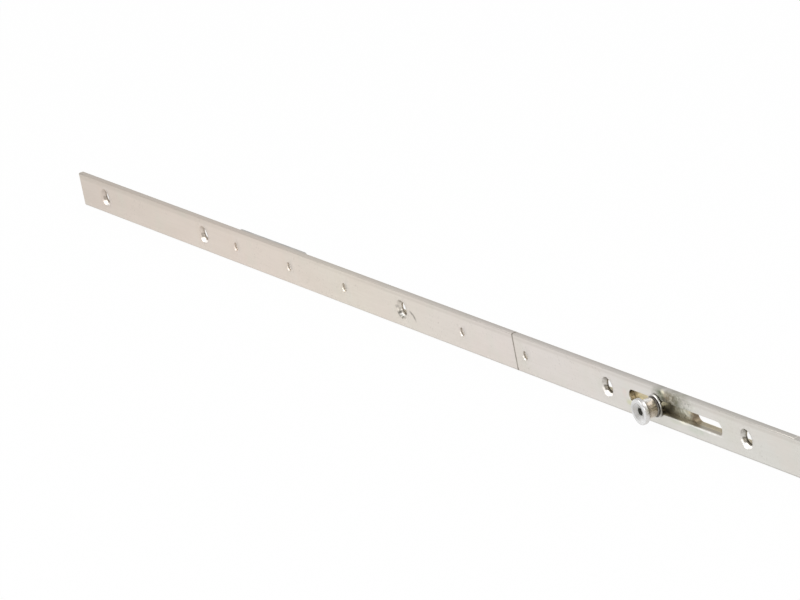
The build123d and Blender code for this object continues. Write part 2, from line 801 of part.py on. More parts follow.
with BuildPart() as latch_springs:
    with BuildSketch(facing(stop_depth - spring_clear)):
        with Locations(*[(x, 0) for x in rod_x]):
            Circle(rod_radius + spring_clear + spring_wire)
            Circle(rod_radius + spring_clear, mode=Mode.SUBTRACT)
    extrude(amount=stop_depth - latch_rear - 2 * spring_clear)
save(latch_springs, "latch_springs")

with BuildPart() as latch_stop:
    with BuildSketch(facing(stop_depth)):
        with Locations((latch_at, 0)):
            Rectangle(2 * (latch_half + stop_margin), 2 * inner_half)
    extrude(amount=-stop_thick)
save(latch_stop, "latch_stop")


def make_bolt_guide(middle, half):
    # A yoke behind the case's front wall that keeps a bolt square, open over the rack slide
    with BuildPart() as yoke:
        yoke_low = slide_high + bolt_clear
        bolt_top = bolt_half + bolt_clear
        with BuildSketch(facing(plate_thick + wall)):
            with Locations((middle, (yoke_low + inner_half) / 2)):
                Rectangle(2 * (half + guide_wall), inner_half - yoke_low)
            with Locations((middle, (yoke_low - overrun + bolt_top) / 2)):
                Rectangle(2 * (half + bolt_clear), bolt_top - yoke_low + overrun, mode=Mode.SUBTRACT)
        extrude(amount=-guide_thick)
    return yoke


latch_guide = make_bolt_guide(latch_at, latch_half)
save(latch_guide, "latch_guide")
deadbolt_guide = make_bolt_guide(bolt_at, bolt_height_half)
save(deadbolt_guide, "deadbolt_guide")

# Deadbolt: a flat bolt that slides on a pin, with a lug for the key cylinder's cam
pin_y = -bolt_pin_ahead
bolt_slot_half = bolt_pin_radius + 2 * fit
with BuildPart() as deadbolt:
    with BuildSketch(facing(0)):
        with Locations((bolt_at, 0)):
            Rectangle(2 * bolt_height_half, 2 * bolt_half)
    extrude(amount=-bolt_length)
    chamfer(deadbolt.faces().sort_by(Axis.Y)[0].edges(), bolt_chamfer)
    with BuildSketch(Plane.XY.offset(-lug_half)):
        with Locations((bolt_at + bolt_height_half + lug_out / 2, (lug_low + lug_high) / 2)):
            Rectangle(lug_out, lug_high - lug_low)
    extrude(amount=2 * lug_half)
    with BuildSketch(Plane.XY.offset(-bolt_half)):
        with Locations((bolt_at, pin_y + bolt_throw / 2)):
            SlotOverall(bolt_throw + 2 * bolt_slot_half, 2 * bolt_slot_half, rotation=90)
    extrude(amount=2 * bolt_half, mode=Mode.SUBTRACT)
save(deadbolt, "deadbolt")

with BuildPart() as deadbolt_pin:
    with BuildSketch(Plane.XY.offset(-inner_half)):
        with Locations((bolt_at, pin_y)):
            Circle(bolt_pin_radius)
    extrude(amount=2 * inner_half)
save(deadbolt_pin, "deadbolt_pin")

# A leaf that leans on the deadbolt's side, with its foot on the back wall of the case
with BuildPart() as deadbolt_detent:
    strip_x = bolt_at - bolt_height_half - spring_clear
    bend_x = strip_x - strip_stand
    with BuildSketch(Plane.XY.offset(-lug_half)):
        with BuildLine():
            Polyline((bend_x - strip_foot, inner_back_y), (bend_x, inner_back_y),
                     (strip_x, (inner_back_y + pin_y) / 2), (bend_x, pin_y),
                     (bend_x - spring_strip, pin_y),
                     (strip_x - spring_strip, (inner_back_y + pin_y) / 2),
                     (bend_x - spring_strip, inner_back_y - spring_strip),
                     (bend_x - strip_foot, inner_back_y - spring_strip), close=True)
        make_face()
    extrude(amount=2 * lug_half)
save(deadbolt_detent, "deadbolt_detent")

print("bar travel", -travel_out, "to", travel_in, "mm, ratio", pitch_radius, "mm per radian")
print("handle from", -travel_out / pitch_radius * 180 / pi, "to", travel_in / pitch_radius * 180 / pi)
print("pins at", shank_at, "tabs", tab_x, "lugs", lug_middles)
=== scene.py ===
import math
import bmesh
import bpy
import numpy as np
from mathutils import Matrix, Vector


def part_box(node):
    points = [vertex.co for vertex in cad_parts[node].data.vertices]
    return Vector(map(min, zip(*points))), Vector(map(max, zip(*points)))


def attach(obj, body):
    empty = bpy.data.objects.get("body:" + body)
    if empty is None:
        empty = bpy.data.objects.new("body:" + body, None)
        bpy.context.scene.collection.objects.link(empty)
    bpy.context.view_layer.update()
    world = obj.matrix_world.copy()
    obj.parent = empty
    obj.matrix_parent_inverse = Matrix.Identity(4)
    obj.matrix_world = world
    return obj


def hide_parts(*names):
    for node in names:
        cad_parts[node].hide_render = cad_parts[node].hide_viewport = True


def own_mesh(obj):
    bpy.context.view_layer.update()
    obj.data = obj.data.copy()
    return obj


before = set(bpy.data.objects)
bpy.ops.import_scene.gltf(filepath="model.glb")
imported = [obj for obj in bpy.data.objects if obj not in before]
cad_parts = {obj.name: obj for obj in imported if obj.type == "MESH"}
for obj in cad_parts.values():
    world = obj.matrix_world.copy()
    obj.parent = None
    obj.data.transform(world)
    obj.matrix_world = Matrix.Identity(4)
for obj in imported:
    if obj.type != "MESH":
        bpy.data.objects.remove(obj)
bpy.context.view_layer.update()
scene = bpy.context.scene
mm = 0.001
frontY = -0.035  # the faceplate's front
sides = ("upper", "lower")


# camera: the place and the turn of the lens, found from the strip's edges and holes
camera = {
    "place": (1.1401, -0.8563, 0.5999),
    "right": (0.4900, 0.8518, -0.1852),
    "down": (0.1835, -0.3084, -0.9334),
    "focalPixels": 4664.2,
    "frameWidth": 800,
    "sensor": 36.0,
    "shift": (0.0010, 0.0015),  # share of the frame's width
    "clip": (0.05, 60),
}


def makeCamera():
    # columns of the turn are right, up and back; back is right crossed with up
    right = Vector(camera["right"]).normalized()
    up = -Vector(camera["down"])
    up = (up - right * up.dot(right)).normalized()
    back = right.cross(up)
    data = bpy.data.cameras.new("camera")
    data.sensor_fit = "HORIZONTAL"
    data.sensor_width = camera["sensor"]
    data.lens = camera["focalPixels"] / camera["frameWidth"] * camera["sensor"]
    data.shift_x, data.shift_y = camera["shift"]
    data.clip_start, data.clip_end = camera["clip"]
    holder = bpy.data.objects.new("camera", data)
    turn = Matrix((right, up, back)).transposed().to_4x4()
    holder.matrix_world = Matrix.Translation(camera["place"]) @ turn
    scene.collection.objects.link(holder)
    scene.camera = holder


makeCamera()
scene.view_settings.view_transform = "Standard"
print("camera placed")


# node helpers: a value is a socket, a number, or a tuple for a point or a colour
def feed(tree, value, socket):
    # a socket is linked to the value or set to it; a colour of three parts gets a fourth of 1
    if hasattr(value, "is_output"):
        tree.links.new(value, socket)
    elif isinstance(value, tuple) and len(value) < len(socket.default_value):
        socket.default_value = (*value, 1)
    else:
        socket.default_value = value


def put(tree, kind, **values):
    # a node whose properties are set and whose inputs are fed, by name
    node = tree.nodes.new(kind)
    for key, value in values.items():
        if hasattr(node, key):
            setattr(node, key, value)
        else:
            feed(tree, value, node.inputs[key])
    return node


def newMaterial(name):
    # an empty material with one Principled shader on its output
    material = bpy.data.materials.new(name)
    material.use_nodes = True
    tree = material.node_tree
    tree.nodes.clear()
    shader = put(tree, "ShaderNodeBsdfPrincipled")
    put(tree, "ShaderNodeOutputMaterial", Surface=shader.outputs[0])
    return material, tree, shader


def blendColour(tree, factor, a, b, how="MIX"):
    # mix of two colours by a factor
    node = put(tree, "ShaderNodeMix", data_type="RGBA", blend_type=how)
    for index, value in ((0, factor), (6, a), (7, b)):
        feed(tree, value, node.inputs[index])
    return node.outputs[2]


def sums(tree, kind, a, b=0.0):
    # one step of arithmetic
    node = put(tree, "ShaderNodeMath", operation=kind)
    feed(tree, a, node.inputs[0])
    feed(tree, b, node.inputs[1])
    return node.outputs[0]


def vectorSums(tree, kind, a, b=(0, 0, 0)):
    # one step of arithmetic on points
    node = put(tree, "ShaderNodeVectorMath", operation=kind)
    feed(tree, a, node.inputs[0])
    feed(tree, b, node.inputs[1])
    return node.outputs


def times(tree, first, *others):
    # the product of all its factors
    for other in others:
        first = sums(tree, "MULTIPLY", first, other)
    return first


def layOver(tree, colour, mask, strength, tint):
    # a tint over a colour, by a mask times a strength
    return blendColour(tree, times(tree, mask, strength), colour, tint)


def ramp(tree, source, low, high, fromValue=0.0, toValue=1.0):
    # straight line from one range to another, held at its ends
    node = put(tree, "ShaderNodeMapRange", clamp=True, Value=source)
    for label, value in (("From Min", low), ("From Max", high), ("To Min", fromValue), ("To Max", toValue)):
        feed(tree, value, node.inputs[label])
    return node.outputs[0]


def band(tree, source, low, high, soft):
    # 1 from one value to another and 0 outside, with soft ends
    return times(tree, ramp(tree, source, low - soft, low + soft), ramp(tree, source, high + soft, high - soft))


def ownPlace(tree):
    # the object's own coordinates
    return put(tree, "ShaderNodeTexCoord").outputs["Object"]


def parts(tree, point):
    # x, y and z of a point
    return put(tree, "ShaderNodeSeparateXYZ", Vector=point).outputs


def tones(tree, source, stops):
    # colours along a value: (value, colour) stops joined by straight blends
    node = put(tree, "ShaderNodeValToRGB")
    low, high = stops[0][0], stops[-1][0]
    elements = node.color_ramp.elements
    while len(elements) < len(stops):
        elements.new(0.5)
    for element, (value, colour) in zip(elements, stops):
        element.position = (value - low) / (high - low)
        element.color = (*colour, 1)
    tree.links.new(ramp(tree, source, low, high), node.inputs[0])
    return node.outputs[0]


def dress(tree, shader, colour, rough, heights, bump, metallic):
    # the shader's inputs; a bump is its distance in metres and its strength
    distance, strength = bump
    relief = put(tree, "ShaderNodeBump", Strength=strength, Distance=distance, Height=heights).outputs[0]
    for label, value in (("Base Color", colour), ("Roughness", rough), ("Normal", relief),
                         ("Metallic", metallic)):
        feed(tree, value, shader.inputs[label])


# shared effects, each a node group
effects = {
    "cloudNoise": (4.0, 0.65),  # detail and roughness where none are given
    "spotCore": 0.35,  # share of its reach that a spot covers in full
    "spotReachY": 20.0,  # its reach in depth, in mm, where none is given
    "stainAndLightShares": (0.7, 0.3),  # how much of a spot, stain and painted light alike, is broken up, and how much even
    "specks": ((900, 900, 900), 2.0, 0.6),  # stretch, detail, roughness
    "speckLevels": (0.6, 0.72),
    "speckFields": ((70, 70, 70), 2.0, 0.5),  # where the specks gather
    "fieldLevels": (0.42, 0.7),
}


def newGroup(name, ins, outs):
    # named inputs start as a number, a point of three parts or a colour of four; outputs name their kind
    group = bpy.data.node_groups.new(name, "ShaderNodeTree")
    for label, start in ins.items():
        kind = {3: "Vector", 4: "Color"}[len(start)] if isinstance(start, tuple) else "Float"
        socket = group.interface.new_socket(label, in_out="INPUT", socket_type="NodeSocket" + kind)
        socket.default_value = start
    for label, kind in outs.items():
        group.interface.new_socket(label, in_out="OUTPUT", socket_type="NodeSocket" + kind)
    return group, put(group, "NodeGroupInput").outputs, put(group, "NodeGroupOutput").inputs


def useGroup(tree, group, **values):
    # one placed copy of a shared group
    return put(tree, "ShaderNodeGroup", node_tree=group, **values).outputs


def noiseAt(tree, stretch, detail, roughness):
    # noise on the object's own coordinates, scaled along each axis
    mapped = put(tree, "ShaderNodeMapping", Vector=ownPlace(tree), Scale=stretch).outputs[0]
    noise = put(tree, "ShaderNodeTexNoise", Vector=mapped, Scale=1.0, Detail=detail, Roughness=roughness)
    return noise.outputs[0]


def spotMask(tree, ins):
    # 1 near a centre and 0 at the reach: the length of the step from the centre, divided by the reach
    step = vectorSums(tree, "SUBTRACT", ins["Point"], ins["Centre"])[0]
    scaled = vectorSums(tree, "DIVIDE", step, ins["Reach"])[0]
    return ramp(tree, vectorSums(tree, "LENGTH", scaled)["Value"], 1.0, effects["spotCore"])


def tintBy(tree, mask, ins, outs):
    # a group's own tint over its colour, by a mask and its strength
    feed(tree, layOver(tree, ins["Colour"], mask, ins["Strength"], ins["Tint"]), outs["Colour"])


placeInputs = {"Point": (0, 0, 0), "Centre": (0, 0, 0), "Reach": (1, 1, 1)}
tintInputs = {"Colour": (0, 0, 0, 1), "Tint": (0, 0, 0, 1), "Strength": 1.0}

# cloud: noise that is drawn out along the axes, as it is and pressed between two levels
cloud, cloudIn, cloudOut = newGroup(
    "cloud", {"Stretch": (1, 1, 1), "Detail": 4.0, "Roughness": 0.65, "Low": 0.0, "High": 1.0},
    {"Value": "Float", "Mask": "Float"})
cloudValue = noiseAt(cloud, cloudIn["Stretch"], cloudIn["Detail"], cloudIn["Roughness"])
feed(cloud, cloudValue, cloudOut["Value"])
feed(cloud, ramp(cloud, cloudValue, cloudIn["Low"], cloudIn["High"]), cloudOut["Mask"])

# grime: small dark specks, sparse
grime, grimeIn, grimeOut = newGroup("grime", {"Amount": 1.0}, {"Mask": "Float"})
specks = ramp(grime, noiseAt(grime, *effects["specks"]), *effects["speckLevels"])
fields = ramp(grime, noiseAt(grime, *effects["speckFields"]), *effects["fieldLevels"])
feed(grime, times(grime, specks, fields, grimeIn["Amount"]), grimeOut["Mask"])

# spot: an oval mask
spot, spotIn, spotOut = newGroup("spot", placeInputs, {"Mask": "Float"})
feed(spot, spotMask(spot, spotIn), spotOut["Mask"])

# stain and light: a spot of its own tint over a colour, broken up by the blur that it is given; it lays real
# stains as well as painted shade and painted highlights
stainAndLight, stainAndLightIn, stainAndLightOut = newGroup("stainAndLight", {**tintInputs, **placeInputs, "Blur": 1.0}, {"Colour": "Color"})
brokenShare, evenShare = effects["stainAndLightShares"]
broken = sums(stainAndLight, "ADD", times(stainAndLight, stainAndLightIn["Blur"], brokenShare), evenShare)
tintBy(stainAndLight, times(stainAndLight, spotMask(stainAndLight, stainAndLightIn), broken), stainAndLightIn, stainAndLightOut)

# flecks: a cloud of one tint over a colour, inside an oval
flecks, flecksIn, flecksOut = newGroup(
    "flecks", {**tintInputs, **placeInputs, "Stretch": (1, 1, 1), "Low": 0.0, "High": 1.0}, {"Colour": "Color"})
flecksNoise = noiseAt(flecks, flecksIn["Stretch"], *effects["cloudNoise"])
torn = ramp(flecks, flecksNoise, flecksIn["Low"], flecksIn["High"])
tintBy(flecks, times(flecks, spotMask(flecks, flecksIn), torn), flecksIn, flecksOut)


def clouded(tree, size, low, high, *noise):
    # a placed cloud, whose size is one number or one for each axis
    stretch = size if isinstance(size, tuple) else (size, size, size)
    detail, roughness = noise or effects["cloudNoise"]
    return useGroup(tree, cloud, Stretch=stretch, Low=low, High=high, Detail=detail, Roughness=roughness)


def ovalAt(x, z, reachX, reachZ, depth=0.0, reachY=effects["spotReachY"]):
    # a spot's inputs from mm, with its depth from the plate's front
    return {"Centre": (x * mm, frontY + depth * mm, z * mm),
            "Reach": (reachX * mm, reachY * mm, reachZ * mm)}


def oval(tree, point, *place):
    # a placed spot
    return useGroup(tree, spot, Point=point, **ovalAt(*place))["Mask"]


def addSpots(tree, colour, point, spots, blur, depth=0.0, reachY=effects["spotReachY"]):
    # stains, painted shade and painted highlights in mm: x, z, reach along both, colour, strength
    for *place, tint, strength in spots:
        colour = useGroup(tree, stainAndLight, Colour=colour, Tint=tint, Point=point, Blur=blur, Strength=strength,
                          **ovalAt(*place, depth, reachY))["Colour"]
    return colour


def addGrease(tree, colour, point, grease, depth=0.0):
    # old grease: light flecks and dark dregs inside one oval
    for size, low, high, strength, tint in (grease["light"], grease["dregs"]):
        colour = useGroup(tree, flecks, Colour=colour, Tint=tint, Point=point, Stretch=(size, size, size),
                          Low=low, High=high, Strength=strength, **ovalAt(*grease["oval"], depth))["Colour"]
    return colour


def besideOwnHalf(tree, upper, lower):
    # the point with its x counted from the upper half's centre, or past the spindle from the lower's
    x, y, z = parts(tree, ownPlace(tree))
    centre = sums(tree, "ADD", times(tree, sums(tree, "GREATER_THAN", x), lower - upper), upper)
    return put(tree, "ShaderNodeCombineXYZ", X=sums(tree, "SUBTRACT", x, centre), Y=y, Z=z).outputs[0]


# where the slots, cams and dirty seams stand, along X
halfMarks = {
    "slotMiddle": (-0.302, 0.332),
    "shankMiddle": (-0.3156, 0.3184),
    "seams": (-0.420, 0.450),
}

# the plate: colours are linear, lengths in metres
plate = {
    # colour by the distance from the spindle
    "tones": [(0.21, (0.685, 0.678, 0.632)), (0.32, (0.714, 0.688, 0.652)), (0.43, (0.738, 0.679, 0.638)),
              (0.55, (0.731, 0.675, 0.590)), (0.66, (0.725, 0.636, 0.562)), (0.74, (0.692, 0.610, 0.536)),
              (0.83, (0.630, 0.548, 0.482))],
    "clouds": [(38.0, 0.45, 0.75, 0.30, (0.74, 0.62, 0.56)),  # size, two levels, strength, colour
               (52.0, 0.50, 0.78, 0.35, (0.60, 0.62, 0.52))],
    # rolled grain: stretch, two levels, detail, roughness
    "lines": ((60, 1500, 1500), 0.3, 0.7, 6.0, 0.62),
    "patches": ((26, 120, 120), 0.32, 0.68, 3.0, 0.5),
    "heightShares": (0.35, 0.65),
    "lineTint": (0.10, (0.50, 0.45, 0.39)),  # strength, colour
    "speckAmount": 0.30,
    "speckTint": (0.24, 0.21, 0.17),
    "blur": (190.0, 0.34, 0.60),
    "inward": (0.66, 0.52),  # where the outer part ends and the inner begins
    "rough": (0.27, 0.41),
    "bump": (0.00002, 0.5),
    "metallic": 0.9,
    # painted shade in the holes and in the slot's corner
    "darkening": (0.10, 0.085, 0.060),
}

# painted light and shade on the rolled edges of the plate: where each part begins and ends, its strength and
# colour
edges = {
    "side": (0.0073, 0.0078),
    "shadeAlong": (0.80, 0.30, 0.13, 0.28),  # painted shade on the rolled side, from the outer end to the case
    "shadeTint": (0.10, 0.09, 0.08),
    # painted light on the front of the rolled side
    "front": (0.0014, 0.0009),
    "litFrontTint": (0.12, (0.98, 0.92, 0.84)),
    "back": (0.0012, 0.0020),
    "backTint": (0.22, (0.40, 0.36, 0.30)),
    # a faint painted shade line, and painted shade where the face bends into the upper roll
    "line": (0.0058, 0.0068, 0.0003),
    "shadeLineShare": 0.20,
    "bendShade": (0.0062, 0.0070, 0.0, 0.10),
    "bendShadeTint": (0.40, 0.35, 0.30),
    # painted shade along the upper rim at the outer end
    "outerRimShade": (0.0054, 0.0080, 0.0006),
    "outerRimShadeAlong": (-0.60, -0.72),
    "outerRimShadeTint": (0.24, (0.38, 0.34, 0.28)),
    # painted shade along the lower edge
    "low": (-0.0070, -0.0076),
    "lowShadeAlong": (-0.60, -0.25, 0.20, 0.50),
    "lowShadeTint": (0.40, 0.38, 0.35),
}

# painted highlight and shade on the walls of the plate's holes: depths from the front, places across the strip,
# shares from outer to inner part
holeWalls = {
    "slotEnd": (0.0330, 0.0345),
    "depth": (0.00030, 0.00242, 0.00012),
    "across": (0.0056, 0.0050),
    # painted shade on the upper flanks, deep down and in a belt
    "upper": (-0.0004, 0.0030),
    "upperShares": (0.25, 0.72),
    "upperCloud": (620.0, 0.30, 0.52),
    "deep": (0.00130, 0.0025, 0.0001),
    "deepAcross": (-0.0012, 0.0002, 1.0, 0.40),
    "deepShares": (0.60, 1.0),
    "belt": (0.0005, 0.0009),
    "beltAcross": (-0.0022, 0.0, 0.0004),
    "beltShares": (0.62, 0.95),
    # painted highlight on the lower flanks
    "flank": (-0.0018, -0.0026),
    "flankTint": (0.9, (1.0, 0.99, 0.97)),
    "shadeShare": 0.93,
    "shadeThinned": (-512.5, 1.5, 6.5, 5.0),  # an oval in mm: less painted shade round the third hole
    "shadeThinnedShares": (1.0, 0.12),
    "slotWall": (0.0004, 0.0007),
    "slotWallTint": (0.42, 0.37, 0.30),
    "slotCornerShadow": (-31.8, 2.2, 2.8, 2.2, 1.2),  # an oval in mm, with its depth: the painted shadow in the slot's corner
}

# dirt in the butt seams
seamDirt = {
    "gap": (0.00062, 0.00028),
    "shares": (0.35, 0.60),
    "tint": (0.15, 0.125, 0.09),
}

# spots on the plate, real marks and painted light and shade, in mm: x, z, reach along both, colour, strength
wearAndLight = {
    # grease smears round each cam's slot, with the cam's painted shadow and reflection beside it, x from the
    # slot's middle
    "face": [
        (-9.4, 5.2, 6.4, 3.6, (0.13, 0.15, 0.09), 1.0), (-3.6, 3.2, 4.6, 1.9, (0.07, 0.07, 0.04), 1.0),
        (-3.0, 5.8, 4.4, 2.2, (0.44, 0.37, 0.28), 1.0), (-6.4, 7.0, 1.8, 1.0, (0.95, 0.90, 0.72), 1.0),
        (1.0, 5.2, 7.5, 3.3, (0.25, 0.25, 0.18), 1.0), (9.5, 4.8, 9.0, 3.0, (0.45, 0.45, 0.37), 0.35),
        (-0.5, 6.9, 5.5, 2.2, (0.25, 0.23, 0.17), 0.9), (6.0, 7.2, 6.5, 2.4, (0.36, 0.35, 0.28), 0.75),
        (6.0, 3.0, 8.5, 1.5, (0.33, 0.33, 0.26), 0.8), (0.5, -3.9, 7.0, 1.2, (0.56, 0.58, 0.46), 0.5),
        (14.5, -4.4, 9.0, 2.4, (0.50, 0.56, 0.45), 0.6), (-32.0, -3.0, 4.0, 1.6, (0.60, 0.60, 0.36), 0.7),
        (-35.5, 0.4, 2.4, 2.6, (0.76, 0.60, 0.56), 0.5)],
    # painted highlight along the slot's lower edge
    "slotEdgeHighlight": [
        (5.4, -3.05, 4.4, 0.9, (1.0, 0.97, 0.80), 1.0), (21.0, -3.05, 14.0, 0.62, (1.0, 0.98, 0.94), 1.0)],
    "slotEdgeHighlightDepth": 1.0,  # reach in depth, in mm, as the third hole's painted shading's is
    "grease": {"oval": (4.0, 4.5, 18.0, 4.2), "light": (640.0, 0.50, 0.64, 0.7, (0.80, 0.80, 0.74)),
               "dregs": (560.0, 0.58, 0.70, 0.8, (0.12, 0.12, 0.08))},
    # painted highlights and shade in and by the third hole, with patches of the face's tone painted over shade
    # there, x from the spindle
    "thirdHoleShading": [
        (-511.0, -1.2, 2.2, 2.4, (0.74, 0.68, 0.60), 1.0), (-511.8, -4.0, 2.4, 1.6, (0.74, 0.68, 0.60), 1.0),
        (-513.6, 2.8, 1.8, 1.2, (0.26, 0.24, 0.23), 0.7), (-516.4, 0.6, 1.5, 1.0, (0.30, 0.28, 0.25), 0.7),
        (-514.3, -0.9, 1.6, 1.5, (1.0, 1.0, 1.0), 1.0), (-515.4, -2.0, 1.3, 1.2, (0.08, 0.075, 0.06), 1.0),
        (-514.4, -2.8, 1.5, 1.3, (0.07, 0.065, 0.05), 1.0), (-513.2, -3.6, 1.4, 0.9, (0.16, 0.15, 0.12), 1.0)],
    "thirdHoleCloud": (700.0, 0.30, 0.50),
    "thirdHoleDepth": 1.8,
    # the arc that a wrench's jaw left: its middle and radius in mm, the oval that keeps a part of it
    "biteMiddle": (-507.2, -6.0),
    "biteRadius": 6.7,
    "biteKept": (-503.0, -0.9, 3.6, 3.6),
    "biteWidth": (0.0009, 0.0003),  # metres off its line, where it is gone and where it is full
    "biteCloud": (420.0, 0.30, 0.50),
    "biteTint": (0.8, (0.20, 0.18, 0.15)),
}


def addEdges(tree, colour, x, z, depth, away, inner):
    # painted shade on the rolled sides, darker towards the back, painted light on their front, a faint painted
    # shade line and bend below it on the upper side, and painted shade along the upper rim at the outer end and
    # along the lower edge
    onSide = ramp(tree, sums(tree, "ABSOLUTE", z), *edges["side"])
    colour = layOver(tree, colour, onSide, ramp(tree, away, *edges["shadeAlong"]), edges["shadeTint"])
    front = times(tree, onSide, ramp(tree, depth, *edges["front"]), inner)
    colour = layOver(tree, colour, front, *edges["litFrontTint"])
    back = times(tree, onSide, ramp(tree, depth, *edges["back"]))
    colour = layOver(tree, colour, back, *edges["backTint"])
    line = times(tree, band(tree, z, *edges["line"]), edges["shadeLineShare"])
    bendShade = sums(tree, "ADD", line, ramp(tree, z, *edges["bendShade"]))
    colour = layOver(tree, colour, bendShade, inner, edges["bendShadeTint"])
    outerRimShade = times(tree, band(tree, z, *edges["outerRimShade"]), ramp(tree, x, *edges["outerRimShadeAlong"]))
    colour = layOver(tree, colour, outerRimShade, *edges["outerRimShadeTint"])
    low = times(tree, ramp(tree, z, *edges["low"]), ramp(tree, x, *edges["lowShadeAlong"]))
    return blendColour(tree, low, colour, edges["lowShadeTint"])


def addHoleWalls(tree, colour, z, depth, inner, place, point):
    # painted highlight on the lower flanks, painted shade on the upper ones and deep down, most of it inwards
    # along the strip;
    # the slot's walls are browned, with a painted shadow in one corner
    def share(name):
        return ramp(tree, inner, 0.0, 1.0, *holeWalls[name])

    fromSlot = sums(tree, "ABSOLUTE", parts(tree, point)[0])
    outOfSlot = ramp(tree, fromSlot, *holeWalls["slotEnd"])
    across = ramp(tree, sums(tree, "ABSOLUTE", z), *holeWalls["across"])
    inHole = times(tree, band(tree, depth, *holeWalls["depth"]), across)
    upper = times(tree, ramp(tree, z, *holeWalls["upper"]), share("upperShares"),
                  clouded(tree, *holeWalls["upperCloud"])["Mask"])
    deep = band(tree, depth, *holeWalls["deep"])
    deepShade = times(tree, deep, ramp(tree, z, *holeWalls["deepAcross"]), share("deepShares"))
    belt = times(tree, ramp(tree, depth, *holeWalls["belt"]), band(tree, z, *holeWalls["beltAcross"]),
                 share("beltShares"))
    holeShade = sums(tree, "MAXIMUM", sums(tree, "MAXIMUM", upper, deepShade), belt)
    flank = times(tree, inHole, outOfSlot, sums(tree, "SUBTRACT", 1.0, deep),
                  ramp(tree, z, *holeWalls["flank"]))
    colour = layOver(tree, colour, flank, *holeWalls["flankTint"])
    shadeThinned = ramp(tree, oval(tree, place, *holeWalls["shadeThinned"]), 0.0, 1.0, *holeWalls["shadeThinnedShares"])
    paintedShade = times(tree, inHole, holeShade, outOfSlot, shadeThinned)
    colour = layOver(tree, colour, paintedShade, holeWalls["shadeShare"], plate["darkening"])
    wall = times(tree, inHole, sums(tree, "SUBTRACT", 1.0, outOfSlot))
    browned = ramp(tree, depth, *holeWalls["slotWall"])
    colour = layOver(tree, colour, wall, browned, holeWalls["slotWallTint"])
    return layOver(tree, colour, wall, oval(tree, point, *holeWalls["slotCornerShadow"]), plate["darkening"])


def addSeamDirt(tree, colour, x, blur):
    # the nearer seam's distance is the least of both
    first, second = (sums(tree, "ABSOLUTE", sums(tree, "SUBTRACT", x, seam)) for seam in halfMarks["seams"])
    near = ramp(tree, sums(tree, "MINIMUM", first, second), *seamDirt["gap"])
    ragged, even = seamDirt["shares"]
    return layOver(tree, colour, near, sums(tree, "ADD", times(tree, blur, ragged), even), seamDirt["tint"])


def addBite(tree, colour, place):
    # an arc: the distance from its middle less its radius, kept inside an oval
    x, z = wearAndLight["biteMiddle"]
    far = vectorSums(tree, "DISTANCE", place, (x * mm, frontY, z * mm))["Value"]
    off = sums(tree, "ABSOLUTE", sums(tree, "SUBTRACT", far, wearAndLight["biteRadius"] * mm))
    cover = times(tree, ramp(tree, off, *wearAndLight["biteWidth"]), oval(tree, place, *wearAndLight["biteKept"]),
                  clouded(tree, *wearAndLight["biteCloud"])["Mask"])
    return layOver(tree, colour, cover, *wearAndLight["biteTint"])


def plateMaterial(name):
    # plated strip: tones along it, grain, painted light and shade on its edges, darker seams, painted
    # highlights and shade in its holes, grease with painted shade and highlights by the cams, and tool marks
    material, tree, shader = newMaterial(name)
    place = ownPlace(tree)
    point = besideOwnHalf(tree, *halfMarks["slotMiddle"])
    x, y, z = parts(tree, place)
    depth = sums(tree, "SUBTRACT", y, frontY)
    away = sums(tree, "ABSOLUTE", x)
    inner = ramp(tree, away, *plate["inward"])
    lines = clouded(tree, *plate["lines"])["Mask"]
    patches = clouded(tree, *plate["patches"])["Mask"]
    blur = clouded(tree, *plate["blur"])["Mask"]
    colour = tones(tree, away, plate["tones"])
    for size, low, high, strength, tint in plate["clouds"]:
        colour = layOver(tree, colour, clouded(tree, size, low, high)["Mask"], strength, tint)
    colour = layOver(tree, colour, lines, *plate["lineTint"])
    specks = useGroup(tree, grime, Amount=plate["speckAmount"])["Mask"]
    colour = blendColour(tree, specks, colour, plate["speckTint"])
    colour = addEdges(tree, colour, x, z, depth, away, inner)
    colour = addHoleWalls(tree, colour, z, depth, inner, place, point)
    colour = addSeamDirt(tree, colour, x, blur)
    colour = addSpots(tree, colour, point, wearAndLight["face"], blur)
    colour = addSpots(tree, colour, point, wearAndLight["slotEdgeHighlight"], blur, reachY=wearAndLight["slotEdgeHighlightDepth"])
    colour = addGrease(tree, colour, point, wearAndLight["grease"])
    thirdHoleBreakup = clouded(tree, *wearAndLight["thirdHoleCloud"])["Mask"]
    colour = addSpots(tree, colour, place, wearAndLight["thirdHoleShading"], thirdHoleBreakup, reachY=wearAndLight["thirdHoleDepth"])
    colour = addBite(tree, colour, place)
    shadeLineShare, patchShare = plate["heightShares"]
    height = sums(tree, "ADD", times(tree, lines, shadeLineShare), times(tree, patches, patchShare))
    rough = ramp(tree, height, 0.0, 1.0, *plate["rough"])
    dress(tree, shader, colour, rough, height, plate["bump"], plate["metallic"])
    return material


